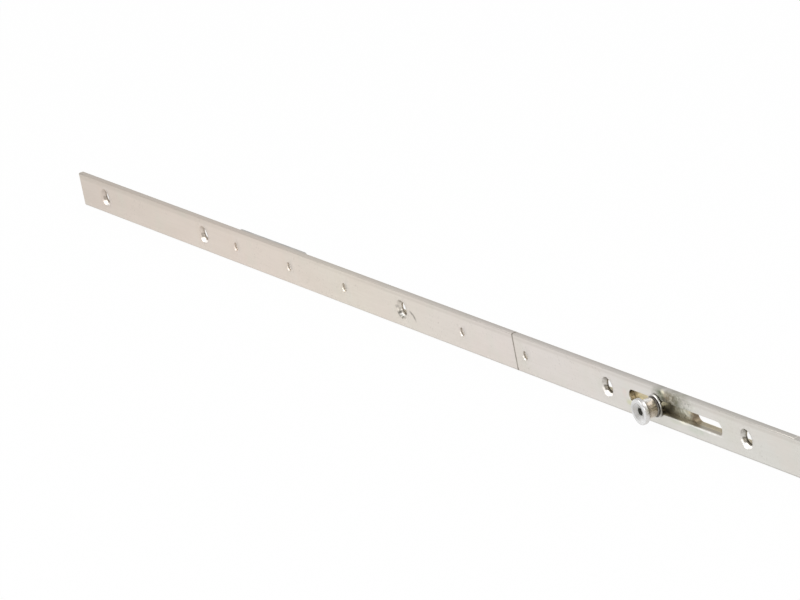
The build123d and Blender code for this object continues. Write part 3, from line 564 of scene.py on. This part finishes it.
# plain metals and nylon: two tones mixed by a drawn-out cloud, and specks of dirt
metals = {
    "turnedSteel": {"light": (0.74, 0.73, 0.72), "dark": (0.56, 0.50, 0.42), "rough": 0.26,
                    "stretch": (260, 1500, 260), "bump": 0.000004, "dirtAmount": 0.25},
    "castMetal": {"light": (0.42, 0.42, 0.43), "dark": (0.33, 0.33, 0.34), "rough": 0.42,
                  "stretch": (420, 420, 420), "bump": 0.00005, "dirtAmount": 0.3},
    "springSteel": {"light": (0.22, 0.22, 0.24), "dark": (0.13, 0.13, 0.14), "rough": 0.30,
                    "stretch": (300, 900, 300), "bump": 0.00001, "dirtAmount": 0.2},
    "platedCase": {"light": (0.60, 0.58, 0.55), "dark": (0.44, 0.425, 0.405), "rough": 0.36,
                   "stretch": (70, 110, 70), "bump": 0.00002, "dirtAmount": 0.35},
    "blackNylon": {"light": (0.030, 0.031, 0.034), "dark": (0.018, 0.018, 0.020), "rough": 0.48,
                   "stretch": (700, 700, 700), "bump": 0.00003, "dirtAmount": 0.2, "metallic": 0.0},
}
metalShared = {
    "levels": (0.35, 0.65, 5.0, 0.6),  # two levels of the cloud, its detail and roughness
    "dirtTint": (0.10, 0.09, 0.07),
    "glossLevels": (0.3, 0.7),
    "glossSpread": (0.08, -0.06),  # added to the roughness at these levels
    "bumpStrength": 0.6,
}


def metalMaterial(name, light, dark, rough, stretch, bump, dirtAmount, metallic=1.0):
    # the cloud sets the tone, the roughness and the height
    material, tree, shader = newMaterial(name)
    mixed = clouded(tree, stretch, *metalShared["levels"])
    darkening = useGroup(tree, grime, Amount=dirtAmount)["Mask"]
    colour = blendColour(tree, darkening, blendColour(tree, mixed["Mask"], dark, light), metalShared["dirtTint"])
    ends = [rough + spread for spread in metalShared["glossSpread"]]
    gloss = ramp(tree, mixed["Value"], *metalShared["glossLevels"], *ends)
    dress(tree, shader, colour, gloss, mixed["Mask"], (bump, metalShared["bumpStrength"]), metallic)
    return material


# yellow passivated bar: mottled tan and brown; spots in mm, x from the cam's shank
bar = {
    "light": (0.92, 0.82, 0.56),
    "dark": (0.50, 0.42, 0.26),
    "cloud": (420.0, 0.34, 0.62, 5.0, 0.65),  # size, two levels, detail, roughness
    "drawn": ((60, 400, 400), 0.35, 0.65, 5.0, 0.6),
    "shares": (0.45, 0.55),
    "depth": 2.6,  # of its front face behind the plate's
    # grease beside the cam, the cam's painted shadow on the bar with a painted light patch in it, and a brown
    # patch past it
    "spots": [
        (16.5, -0.6, 10.0, 6.5, (0.52, 0.50, 0.40), 1.0), (11.5, -0.6, 6.0, 6.0, (0.34, 0.33, 0.25), 1.0),
        (5.8, -1.0, 8.0, 5.6, (0.33, 0.295, 0.20), 1.0), (3.4, 0.3, 3.6, 2.1, (1.0, 0.92, 0.66), 1.0),
        (22.8, 0.0, 3.2, 5.5, (0.20, 0.14, 0.09), 0.9)],
    "spotCloud": (260.0, 0.30, 0.50),
    "grease": {"oval": (15.0, -0.6, 9.0, 6.0), "light": (460.0, 0.46, 0.66, 0.75, (0.84, 0.84, 0.76)),
               "dregs": (560.0, 0.56, 0.66, 0.8, (0.10, 0.10, 0.06))},
    # walls of its slots, in metres: depth behind the plate's front, across, strength and colour
    "slotDepth": (0.0028, 0.0049, 0.0001),
    "slotAcross": (0.0050, 0.0046),
    "slotTint": (0.55, (0.20, 0.16, 0.11)),
    "rough": (0.42, 0.28),
    "bump": (0.00004, 0.6),
    "metallic": 0.85,
}


def barMaterial(name):
    # two clouds mixed in shares, with old grease, the cam's painted shadow and a painted light patch beside
    # each cam
    material, tree, shader = newMaterial(name)
    cloudShare, drawnShare = bar["shares"]
    mixed = sums(tree, "ADD", times(tree, clouded(tree, *bar["cloud"])["Mask"], cloudShare),
                 times(tree, clouded(tree, *bar["drawn"])["Mask"], drawnShare))
    colour = blendColour(tree, mixed, bar["dark"], bar["light"])
    point = besideOwnHalf(tree, *halfMarks["shankMiddle"])
    blur = clouded(tree, *bar["spotCloud"])["Mask"]
    colour = addSpots(tree, colour, point, bar["spots"], blur, bar["depth"])
    colour = addGrease(tree, colour, point, bar["grease"], bar["depth"])
    x, y, z = parts(tree, ownPlace(tree))
    inSlot = times(tree, band(tree, sums(tree, "SUBTRACT", y, frontY), *bar["slotDepth"]),
                   ramp(tree, sums(tree, "ABSOLUTE", z), *bar["slotAcross"]))
    colour = layOver(tree, colour, inSlot, *bar["slotTint"])
    rough = ramp(tree, mixed, 0.0, 1.0, *bar["rough"])
    dress(tree, shader, colour, rough, mixed, bar["bump"], bar["metallic"])
    return material


# turned parts of the cams: fine rings from the tool
turned = {
    "rings": {"Scale": 5200.0, "Detail": 3.0, "Roughness": 0.55},
    "ringLevels": (0.35, 0.7, 0.0, 0.16),
    "ringTint": (0.30, 0.28, 0.25),
    "spotCloud": (500.0, 0.3, 0.5),
    "cloud": (700.0, 0.5, 0.75),
    "cloudTint": (0.25, (0.56, 0.50, 0.42)),
    "rough": (0.3, 0.7, 0.30, 0.19),  # two levels of the rings and the roughness at each
    "bump": (0.000004, 0.4),
    "metallic": 0.95,
}


def turnedMaterial(name, axis, byRadius, spots, byHeight=None):
    # tones by the distance from the axis, times tones by the height over the plate; radius is the root
    # of the summed squares of both steps from the axis
    material, tree, shader = newMaterial(name)
    place = ownPlace(tree)
    x, y, z = parts(tree, place)
    side = sums(tree, "SUBTRACT", x, axis * mm)
    radius = sums(tree, "SQRT", sums(tree, "ADD", times(tree, side, side), times(tree, z, z)))
    height = sums(tree, "SUBTRACT", frontY, y)
    ringPlace = put(tree, "ShaderNodeCombineXYZ", X=radius, Y=height).outputs[0]
    rings = put(tree, "ShaderNodeTexNoise", Vector=ringPlace, **turned["rings"]).outputs[0]
    colour = tones(tree, radius, [(r * mm, tone) for r, tone in byRadius])
    if byHeight:
        colour = blendColour(tree, 1.0, colour, tones(tree, height, [(h * mm, tone) for h, tone in byHeight]),
                             "MULTIPLY")
    placed = [(axis + spotX, *rest) for spotX, *rest in spots]
    colour = addSpots(tree, colour, place, placed, clouded(tree, *turned["spotCloud"])["Mask"])
    colour = blendColour(tree, ramp(tree, rings, *turned["ringLevels"]), colour, turned["ringTint"])
    colour = layOver(tree, colour, clouded(tree, *turned["cloud"])["Mask"], *turned["cloudTint"])
    dress(tree, shader, colour, ramp(tree, rings, *turned["rough"]), rings, turned["bump"], turned["metallic"])
    return material


plateFinish = plateMaterial("platedStrip")
barFinish = barMaterial("yellowBar")
turnedFinish, castFinish, springFinish, caseFinish, nylonFinish = (
    metalMaterial(name, **look) for name, look in metals.items())
print("finishes made")


# how a shell is finished: points nearer than the weld, in metres, are merged; edges are sharp from an angle
shell = {"weld": 2e-6, "sharpFrom": 34.0}


def buildMesh(name, points, faces, material):
    # points and faces become one closed shell: doubles merged, faces outwards, sharp by angle
    mesh = bpy.data.meshes.new(name)
    mesh.from_pydata(points.tolist(), [], faces)
    work = bmesh.new()
    work.from_mesh(mesh)
    bmesh.ops.remove_doubles(work, verts=work.verts, dist=shell["weld"])
    bmesh.ops.recalc_face_normals(work, faces=work.faces)
    work.to_mesh(mesh)
    work.free()
    mesh.shade_smooth()
    mesh.set_sharp_from_angle(angle=math.radians(shell["sharpFrom"]))
    mesh.materials.append(material)
    piece = bpy.data.objects.new(name, mesh)
    scene.collection.objects.link(piece)
    return piece


def gridFaces(rows, columns, start, loop=False):
    # quads of a grid of rows by columns whose first point has the number start
    r, c = np.meshgrid(np.arange(rows - 1), np.arange(columns if loop else columns - 1), indexing="ij")
    n = (c + 1) % columns
    quads = np.stack((r * columns + c, r * columns + n, (r + 1) * columns + n, (r + 1) * columns + c), axis=-1)
    return (quads.reshape(-1, 4) + start).tolist()


def total(clouds):
    # the number of points so far
    return sum(map(len, clouds))


# faceplates: sizes in mm; holes are (x, kind)
strip = {
    "half": 8.0,
    "thick": 2.5,
    "roll": 0.6,
    "rollPoints": 7,
    "backEdge": 0.15,
    "endEdge": 0.12,
    "side": 17,  # points across the strip
    "screw": (2.6, 4.2),  # through radius, sink radius
    "rivet": (1.65, 2.1),
    "caseScrew": (1.7, 3.65),
    "slotHalf": 29.7,  # half the straight part of the cam's slot
    "slotRadius": 2.8,
    "slotPoints": (9, 13),  # past the straight part, along it
    "window": {"latch": (10.3, 4.5), "bolt": (12.3, 4.5)},
    "windowPoints": 17,
    "around": 7.4,  # plate past a hole's middle that belongs to its block
    "aroundWindow": 3.0,  # plate past a window's end
    "soft": 0.12,  # how much each hole's edge is broken
}
endHoles = [(25.0, "screw"), (126.0, "screw"), (157.5, "rivet"), (207.5, "rivet"), (257.5, "rivet"),
            (307.5, "screw"), (357.5, "rivet")]
camHoles = [(407.5, "rivet"), (469.5, "screw"), (518.0, "slot"), (566.5, "screw")]
centreHoles = [(-160.0, "screw"), (-86.3, "caseScrew"), (-62.0, "latch"), (58.0, "bolt"), (106.0, "screw"),
               (122.3, "caseScrew"), (190.0, "screw")]
centreEnds = (-220.0, 250.0)
halves = {"upper": (-820.0, 1), "lower": (850.0, -1)}  # outer end, way to the case
sections = (("end_", 0, 400, endHoles), ("cam_", 400, 600, camHoles))


def holeRings(kind):
    # rings of a hole from the front to the back, each an outline's radius and its depth
    soft = strip["soft"]
    thick = strip["thick"]
    if kind == "slot" or kind in strip["window"]:
        return [(soft, 0.0), (0.0, soft), (0.0, thick - soft), (soft, thick)]
    through, sink = strip[kind]
    floor = sink - through
    return [(sink + soft, 0.0), (sink, soft / 2), (sink - soft, soft * 1.5),
            (through + soft, floor - soft / 2), (through, floor + soft), (through, thick - soft),
            (through + soft, thick)]


def blockLine(kind, v):
    # half a block's length and its points along X; v are the points across, from -1 to 1
    if kind == "slot":
        core, half = strip["slotHalf"], strip["slotHalf"] + strip["around"]
        past, along = strip["slotPoints"]
        return half, np.concatenate((np.linspace(-half, -core, past), np.linspace(-core, core, along)[1:-1],
                                     np.linspace(core, half, past)))
    if kind in strip["window"]:
        half = strip["window"][kind][0] + strip["aroundWindow"]
        return half, np.linspace(-half, half, strip["windowPoints"])
    return strip["around"], v * strip["around"]


def holeBlock(x, kind, v, flat, backFlat):
    # a grid of outline by depth: the block's front edge, the hole's rings and the block's back edge;
    # a round or slotted ring is a step from the nearest point of the hole's middle line, of the ring's length
    half, u = blockLine(kind, v)
    loop = np.concatenate((
        np.stack((u, np.full_like(u, -1.0)), axis=1)[:-1], np.stack((np.full_like(v, half), v), axis=1)[:-1],
        np.stack((u[::-1], np.ones_like(u)), axis=1)[:-1],
        np.stack((np.full_like(v, -half), v[::-1]), axis=1)[:-1]))
    edge = np.stack((loop[:, 0], loop[:, 1] * flat), axis=1)
    rings = [np.column_stack((x + edge[:, 0], np.zeros(len(edge)), edge[:, 1]))]
    for radius, depth in holeRings(kind):
        if kind in strip["window"]:
            a, b = strip["window"][kind]
            outline = np.stack((loop[:, 0] / half * (a + radius), loop[:, 1] * (b + radius)), axis=1)
        else:
            core, grow = (strip["slotHalf"], radius + strip["slotRadius"]) if kind == "slot" else (0.0, radius)
            middle = np.stack((np.clip(edge[:, 0], -core, core), np.zeros(len(edge))), axis=1)
            away = edge - middle
            outline = middle + away / np.linalg.norm(away, axis=1)[:, None] * grow
        rings.append(np.column_stack((x + outline[:, 0], np.full(len(edge), depth), outline[:, 1])))
    rings.append(np.column_stack((x + loop[:, 0], np.full(len(edge), strip["thick"]), loop[:, 1] * backFlat)))
    return rings, x + u


def stripPiece(name, lowX, highX, holes):
    # blocks round the holes, flat spans between them, an edge profile carried along X, and two ends
    v = np.tan(np.linspace(-math.pi / 4, math.pi / 4, strip["side"]))
    thick, roll, wide, end = strip["thick"], strip["roll"], strip["half"], strip["endEdge"]
    flat, backFlat = wide - roll, wide - strip["backEdge"]
    points, faces, stations, spans = [], [], [lowX + end], []
    for x, kind in sorted(holes):
        rings, line = holeBlock(x, kind, v, flat, backFlat)
        faces += gridFaces(len(rings), len(rings[0]), total(points), True)
        points.append(np.concatenate(rings))
        spans.append((stations[-1], line[0]))
        stations += [*line]
    stations.append(highX - end)
    spans.append((stations[-2], stations[-1]))
    stations = np.array(stations)
    for span in spans:
        for depth, across in ((0.0, flat), (thick, backFlat)):
            sheet = np.concatenate([
                np.column_stack((np.full_like(v, x), np.full_like(v, depth), v * across)) for x in span])
            faces += gridFaces(2, len(v), total(points))
            points.append(sheet)
    turn = np.linspace(0, math.pi / 2, strip["rollPoints"])
    edgeZ = np.concatenate((flat + roll * np.sin(turn), [wide, backFlat]))
    edgeDepth = np.concatenate((roll * (1 - np.cos(turn)), [thick - strip["backEdge"], thick]))
    for sign in (1, -1):
        side = np.stack(np.broadcast_arrays(stations[:, None], edgeDepth[None], sign * edgeZ[None]), axis=-1)
        faces += gridFaces(len(stations), len(edgeZ), total(points))
        points.append(side.reshape(-1, 3))
    section = np.concatenate((
        np.column_stack((np.zeros_like(v), v * flat)), np.column_stack((edgeDepth, edgeZ))[1:],
        np.column_stack((np.full_like(v, thick), v[::-1] * backFlat))[1:],
        np.column_stack((edgeDepth, -edgeZ))[::-1][1:-1]))
    small = np.column_stack((np.clip(section[:, 0], end, thick - end),
                             np.clip(section[:, 1], end - wide, wide - end)))
    for x, out in ((lowX, -1), (highX, 1)):
        start = total(points)
        faces += gridFaces(2, len(section), start, True)
        faces.append(list(range(start + len(section), start + 2 * len(section))))
        points.append(np.concatenate((np.column_stack((np.full(len(section), x - out * end), section)),
                                      np.column_stack((np.full(len(small), x), small)))))
    cloud = np.concatenate(points)
    cloud[:, 1] += frontY / mm
    piece = buildMesh(name, cloud * mm, faces, plateFinish)
    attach(piece, "frame")
    return piece


for half, (outer, way) in halves.items():
    for label, first, last, holes in sections:
        span = sorted((outer + way * first, outer + way * last))
        placed = [(outer + way * along, kind) for along, kind in holes]
        piece = stripPiece("strip_" + label + half, *span, placed)
        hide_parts("faceplate_" + label + half)
centre = stripPiece("strip_centre", *centreEnds, centreHoles)
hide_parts("faceplate_centre")
print("faceplates made")


# cams: sizes in mm, heights from the plate's front; a corner is (radius, height, hexagon share, easing)
cam = {
    "around": 96,
    "eccentric": 0.6,
    "easingSteps": 4,
    "longestEasing": 0.48,  # share of an edge
    "head": [(0, 5.65, 1, 0), (1.5, 5.8, 1, 0.1), (1.5, 7.36, 1, 0.05), (1.95, 7.40, 0, 0.03),
             (3.5, 8.2, 0, 0.15), (5.3, 8.2, 0, 0.42), (5.3, 6.5, 0, 0.25), (4.8, 6.0, 0, 0.15),
             (2.7, 6.0, 0, 0.1), (2.7, 0.3, 0, 0.05), (0, 0.3, 0, 0)],
    "shank": 2.45,
    "shankTop": 0.32,
    "shankEasing": (0.02, 0.4),
    "sleeve": [(2.75, 1.9, 0, 0.05), (3.95, 1.85, 0, 0.35), (3.95, 5.85, 0, 0.25), (2.75, 5.85, 0, 0.1)],
    "collar": [(2.7, 0.3, 0, 0.02), (4.8, 0.3, 0, 0.1), (4.8, 0.8, 0, 0.1), (4.5, 1.05, 0, 0.1),
               (3.7, 1.1, 0, 0.1), (3.5, 1.7, 0, 0.1), (2.7, 1.7, 0, 0.05)],
}

# painted light and shade on the cams, laid as tones by radius and by height in mm; spots from the axis: x, z,
# reach along both, colour, strength
camTonesAndShading = {
    "Head": {
        # the hex socket and the dished face painted dark as shade, a darker ring at the dish's edge, and a
        # bright rim
        "byRadius": [
            (0.0, (0.20, 0.20, 0.18)), (1.3, (0.25, 0.25, 0.24)), (1.7, (0.38, 0.38, 0.36)),
            (1.95, (0.46, 0.46, 0.44)), (2.4, (0.56, 0.55, 0.54)), (3.3, (0.62, 0.61, 0.60)),
            (3.5, (0.48, 0.47, 0.46)), (3.7, (0.72, 0.72, 0.72)), (5.0, (0.78, 0.78, 0.78)),
            (5.4, (0.62, 0.60, 0.58))],
        # a painted shade on the head's left and a painted highlight low on its rim
        "spots": [
            (-3.2, 0.8, 2.6, 3.2, (0.42, 0.41, 0.40), 0.6), (0.8, -2.9, 3.4, 1.9, (0.95, 0.95, 0.94), 0.9)]},
    "Sleeve": {
        "byRadius": [(2.8, (0.30, 0.25, 0.18)), (3.6, (0.48, 0.42, 0.345))],
        # painted shade at the collar end and where the sleeve meets the head
        "byHeight": [
            (1.85, (0.40, 0.38, 0.36)), (1.95, (1.0, 1.0, 1.0)), (4.6, (1.0, 1.0, 1.0)),
            (5.2, (0.72, 0.70, 0.68)), (5.6, (0.36, 0.34, 0.32)), (5.9, (0.25, 0.24, 0.23))],
        # a painted highlight along its top and a painted reflection on its underside
        "spots": [
            (0.4, 3.9, 3.2, 0.9, (1.0, 0.98, 0.94), 1.0), (1.0, -3.6, 3.4, 1.6, (0.74, 0.68, 0.62), 0.8)]},
    "Collar": {
        # the hub and front painted dark as the groove's shade, with a bright outer rim
        "byRadius": [(2.7, (0.05, 0.045, 0.04)), (4.25, (0.08, 0.07, 0.06)), (4.5, (0.66, 0.65, 0.63)),
                     (4.9, (0.72, 0.71, 0.69))],
        # a painted shade on its right side
        "spots": [(4.9, -1.2, 3.2, 3.6, (0.25, 0.24, 0.21), 1.0)]},
}


def eased(corners, closed):
    # each corner becomes a quadratic curve between points set back from it along its two edges
    rows = np.array(corners, float)
    profile = []
    for index, row in enumerate(rows):
        onEnd = not closed and index in (0, len(rows) - 1)
        if onEnd or row[3] == 0:
            profile.append(row[:3][None])
            continue
        ends = []
        for other in (rows[index - 1], rows[(index + 1) % len(rows)]):
            step = other[:2] - row[:2]
            length = np.linalg.norm(step)
            share = min(row[3], cam["longestEasing"] * length) / length
            ends.append(np.append(row[:2] + step * share, row[2] + (other[2] - row[2]) * share))
        t = np.linspace(0, 1, cam["easingSteps"] + 1)[:, None]
        profile.append((1 - t) ** 2 * ends[0] + 2 * t * (1 - t) * row[:3] + t ** 2 * ends[1])
    profile = np.concatenate(profile)
    return np.concatenate((profile, profile[:1])) if closed else profile


def turnedShell(profile, middle, start):
    # rings about a line along Y: x is the middle plus r cos a, y the front less the height, z is r sin a;
    # a hexagon's r is half its width over the cosine of the angle from the middle of its nearest flat
    a = np.arange(cam["around"]) * 2 * math.pi / cam["around"]
    flat = 1 / np.cos(a % (math.pi / 3) - math.pi / 6)
    r = profile[:, 0:1] * (1 + profile[:, 2:3] * (flat - 1))
    y = np.broadcast_to(frontY / mm - profile[:, 1:2], r.shape)
    points = np.stack((middle + r * np.cos(a), y, r * np.sin(a)), axis=-1).reshape(-1, 3)
    return points, gridFaces(len(profile), cam["around"], start, True)


def turnedPiece(name, shells, material, body, node):
    # one piece of one or two shells, each its corners, the middle of its rings and whether it closes
    points, faces = [], []
    for corners, middle, closed in shells:
        cloud, quads = turnedShell(eased(corners, closed), middle, total(points))
        points.append(cloud)
        faces += quads
    piece = buildMesh(name, np.concatenate(points) * mm, faces, material)
    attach(piece, body)
    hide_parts(node)


for side, shankX in zip(sides, halfMarks["shankMiddle"]):
    shank = shankX / mm
    axis = shank + cam["eccentric"]
    look = {part: turnedMaterial("cam" + part + side, axis, **values) for part, values in camTonesAndShading.items()}
    back = (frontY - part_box("cam_pin_" + side)[1][1]) / mm
    (topEasing, backEasing), top = cam["shankEasing"], cam["shankTop"]
    shankCorners = [(0, top, 0, 0), (cam["shank"], top, 0, topEasing), (cam["shank"], back, 0, backEasing),
                    (0, back, 0, 0)]
    turnedPiece("mushroom_pin_" + side, [(cam["head"], axis, False), (shankCorners, shank, False)],
                look["Head"], "cam_pin_" + side, "cam_pin_" + side)
    turnedPiece("roller_sleeve_" + side, [(cam["sleeve"], axis, True)],
                look["Sleeve"], "cam_sleeve_" + side, "cam_sleeve_" + side)
    turnedPiece("base_collar_" + side, [(cam["collar"], axis, True)],
                look["Collar"], "cam_pin_" + side, "cam_collar_" + side)
print("cams made")


# latch springs: wound wire between the carrier's back and the stop; sizes in mm
spring = {
    "turns": 8,
    "closed": 1.25,  # turns at each end that lie flat
    "closedRise": 2.1,  # their rise, times the wire's radius
    "wire": 0.46,  # the wire's radius
    "coil": 2.3,  # radius to the wire's middle
    "reach": 2.8,  # radius of the CAD tube, so from its box to its axis
    "perTurn": 32,
    "round": 10,
    "stopY": 4.0,
    "push": 8.0,
}


def springShell(middle, low, high, start):
    # the wire's middle is (r cos a, rise, r sin a); the rise is flat over each closed end;
    # each ring stands at (cos b) outwards and (sin b) across the wire, which is the turn's way x outwards
    turns, wire, around = spring["turns"], spring["wire"], spring["round"]
    steps = turns * spring["perTurn"] + 1
    a = np.linspace(0, turns * 2 * math.pi, steps)
    top = high - low - 2 * wire
    closedRise = spring["closedRise"] * wire
    rise = np.interp(a / (2 * math.pi), [0, spring["closed"], turns - spring["closed"], turns],
                     [0, closedRise, top - closedRise, top]) + low + wire
    out = np.stack((np.cos(a), np.zeros_like(a), np.sin(a)), axis=1)
    middleLine = out * spring["coil"] + np.stack((np.full_like(a, middle), rise, np.zeros_like(a)), axis=1)
    way = np.gradient(middleLine, axis=0)
    across = np.cross(way / np.linalg.norm(way, axis=1)[:, None], out)
    b = np.arange(around) * 2 * math.pi / around
    rings = middleLine[:, None] + wire * (
        np.cos(b)[None, :, None] * out[:, None] + np.sin(b)[None, :, None] * across[:, None])
    last = start + (steps - 1) * around
    faces = gridFaces(steps, around, start, True)
    faces += [list(range(start, start + around)), list(range(last, last + around))]
    return rings.reshape(-1, 3), faces


(lowX, lowY, _), (highX, highY, _) = [[value / mm for value in corner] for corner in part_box("latch_springs")]
springPoints, springFaces = [], []
for middle in (lowX + spring["reach"], highX - spring["reach"]):
    cloud, quads = springShell(middle, lowY, highY, total(springPoints))
    springPoints.append(cloud)
    springFaces += quads
coils = buildMesh("latch_coils", np.concatenate(springPoints) * mm, springFaces, springFinish)
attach(coils, "frame")
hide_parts("latch_springs")
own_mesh(coils)
print("springs made")


# CAD nodes that stay, by how their names begin; the longest beginning that fits counts
keep = [
    (barFinish, ("drive_bar", "rack_slide")),
    (turnedFinish, ("cam_", "plate_rivets", "guide_studs", "splice_studs", "coupling_rivets", "case_posts",
                    "case_screws", "cover_screws", "latch_roller", "latch_rods", "deadbolt_pin")),
    (caseFinish, ("splice_", "end_guide", "case_body", "case_cover", "latch_stop")),
    (castFinish, ("case_lugs", "follower", "latch_carrier", "deadbolt")),
    (nylonFinish, ("follower_bush", "latch_guide", "deadbolt_guide")),
    (springFinish, ("deadbolt_detent", "detent_spring")),
]
finishOf = {start: finish for finish, starts in keep for start in starts}
for name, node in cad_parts.items():
    fits = [start for start in finishOf if name.startswith(start)]
    if fits:
        node.data.materials.clear()
        node.data.materials.append(finishOf[max(fits, key=len)])
print("carried-over pieces finished")


# stage: a white floor under the lock, the sky and three soft lamps
stage = {
    "floorZ": -0.0082,
    "floorSize": 12.0,
    "floorTone": (0.8, 0.8, 0.8),
    "whiteShare": 0.97,
    "skyTop": 0.95,
    "skyLow": 0.42,
    "skyReach": 0.8,  # height of a look, from 0 to 1, at which the sky's top tone begins
}
lamps = {
    "key": {"place": (-0.9, -1.1, 1.5), "size": 1.6, "watts": 15.0},
    "fill": {"place": (1.2, -1.6, 0.8), "size": 1.2, "watts": 14.0},
    "back": {"place": (0.2, 1.2, 1.4), "size": 1.4, "watts": 8.0},
}
lampAim = (-0.45, -0.03, 0)  # the middle of the photographed end


def whiteRays(tree):
    # 1 where the camera, a reflection or a see-through part looks
    rays = put(tree, "ShaderNodeLightPath").outputs
    seen = sums(tree, "MAXIMUM", rays["Is Camera Ray"], rays["Is Glossy Ray"])
    return sums(tree, "MAXIMUM", seen, rays["Is Transmission Ray"])


def mixShaders(tree, factor, first, second, end):
    # two shaders mixed into the output's surface
    mix = put(tree, "ShaderNodeMixShader", Fac=factor)
    tree.links.new(first.outputs[0], mix.inputs[1])
    tree.links.new(second.outputs[0], mix.inputs[2])
    put(tree, end, Surface=mix.outputs[0])


def makeFloor():
    # white to those rays, with a share of real shading for the shadow
    mesh = bpy.data.meshes.new("floor")
    h = stage["floorSize"] / 2
    mesh.from_pydata([(-h, -h, 0), (h, -h, 0), (h, h, 0), (-h, h, 0)], [], [(0, 1, 2, 3)])
    floor = bpy.data.objects.new("floor", mesh)
    floor.location.z = stage["floorZ"]
    scene.collection.objects.link(floor)
    material = bpy.data.materials.new("floorWhite")
    material.use_nodes = True
    tree = material.node_tree
    tree.nodes.clear()
    plain = put(tree, "ShaderNodeBsdfDiffuse", Color=stage["floorTone"])
    glow = put(tree, "ShaderNodeEmission", Strength=1.0)
    mixShaders(tree, times(tree, whiteRays(tree), stage["whiteShare"]), plain, glow,
               "ShaderNodeOutputMaterial")
    mesh.materials.append(material)


def makeSky():
    # white to those rays, elsewhere a grey room that is lighter overhead
    world = bpy.data.worlds.new("room")
    scene.world = world
    world.use_nodes = True
    tree = world.node_tree
    tree.nodes.clear()
    look = put(tree, "ShaderNodeTexCoord").outputs["Generated"]
    level = ramp(tree, parts(tree, look)[2], 0.0, stage["skyReach"], stage["skyLow"], stage["skyTop"])
    room = put(tree, "ShaderNodeBackground", Strength=level)
    white = put(tree, "ShaderNodeBackground")
    mixShaders(tree, whiteRays(tree), room, white, "ShaderNodeOutputWorld")


def makeLamps():
    # square area lamps, each turned to the aim
    for name, lamp in lamps.items():
        data = bpy.data.lights.new(name, "AREA")
        data.size = lamp["size"]
        data.energy = lamp["watts"]
        holder = bpy.data.objects.new(name, data)
        holder.location = lamp["place"]
        turn = (Vector(lampAim) - Vector(lamp["place"])).to_track_quat("-Z", "Y")
        holder.rotation_euler = turn.to_euler()
        scene.collection.objects.link(holder)


makeFloor()
makeSky()
makeLamps()
print("stage lit")
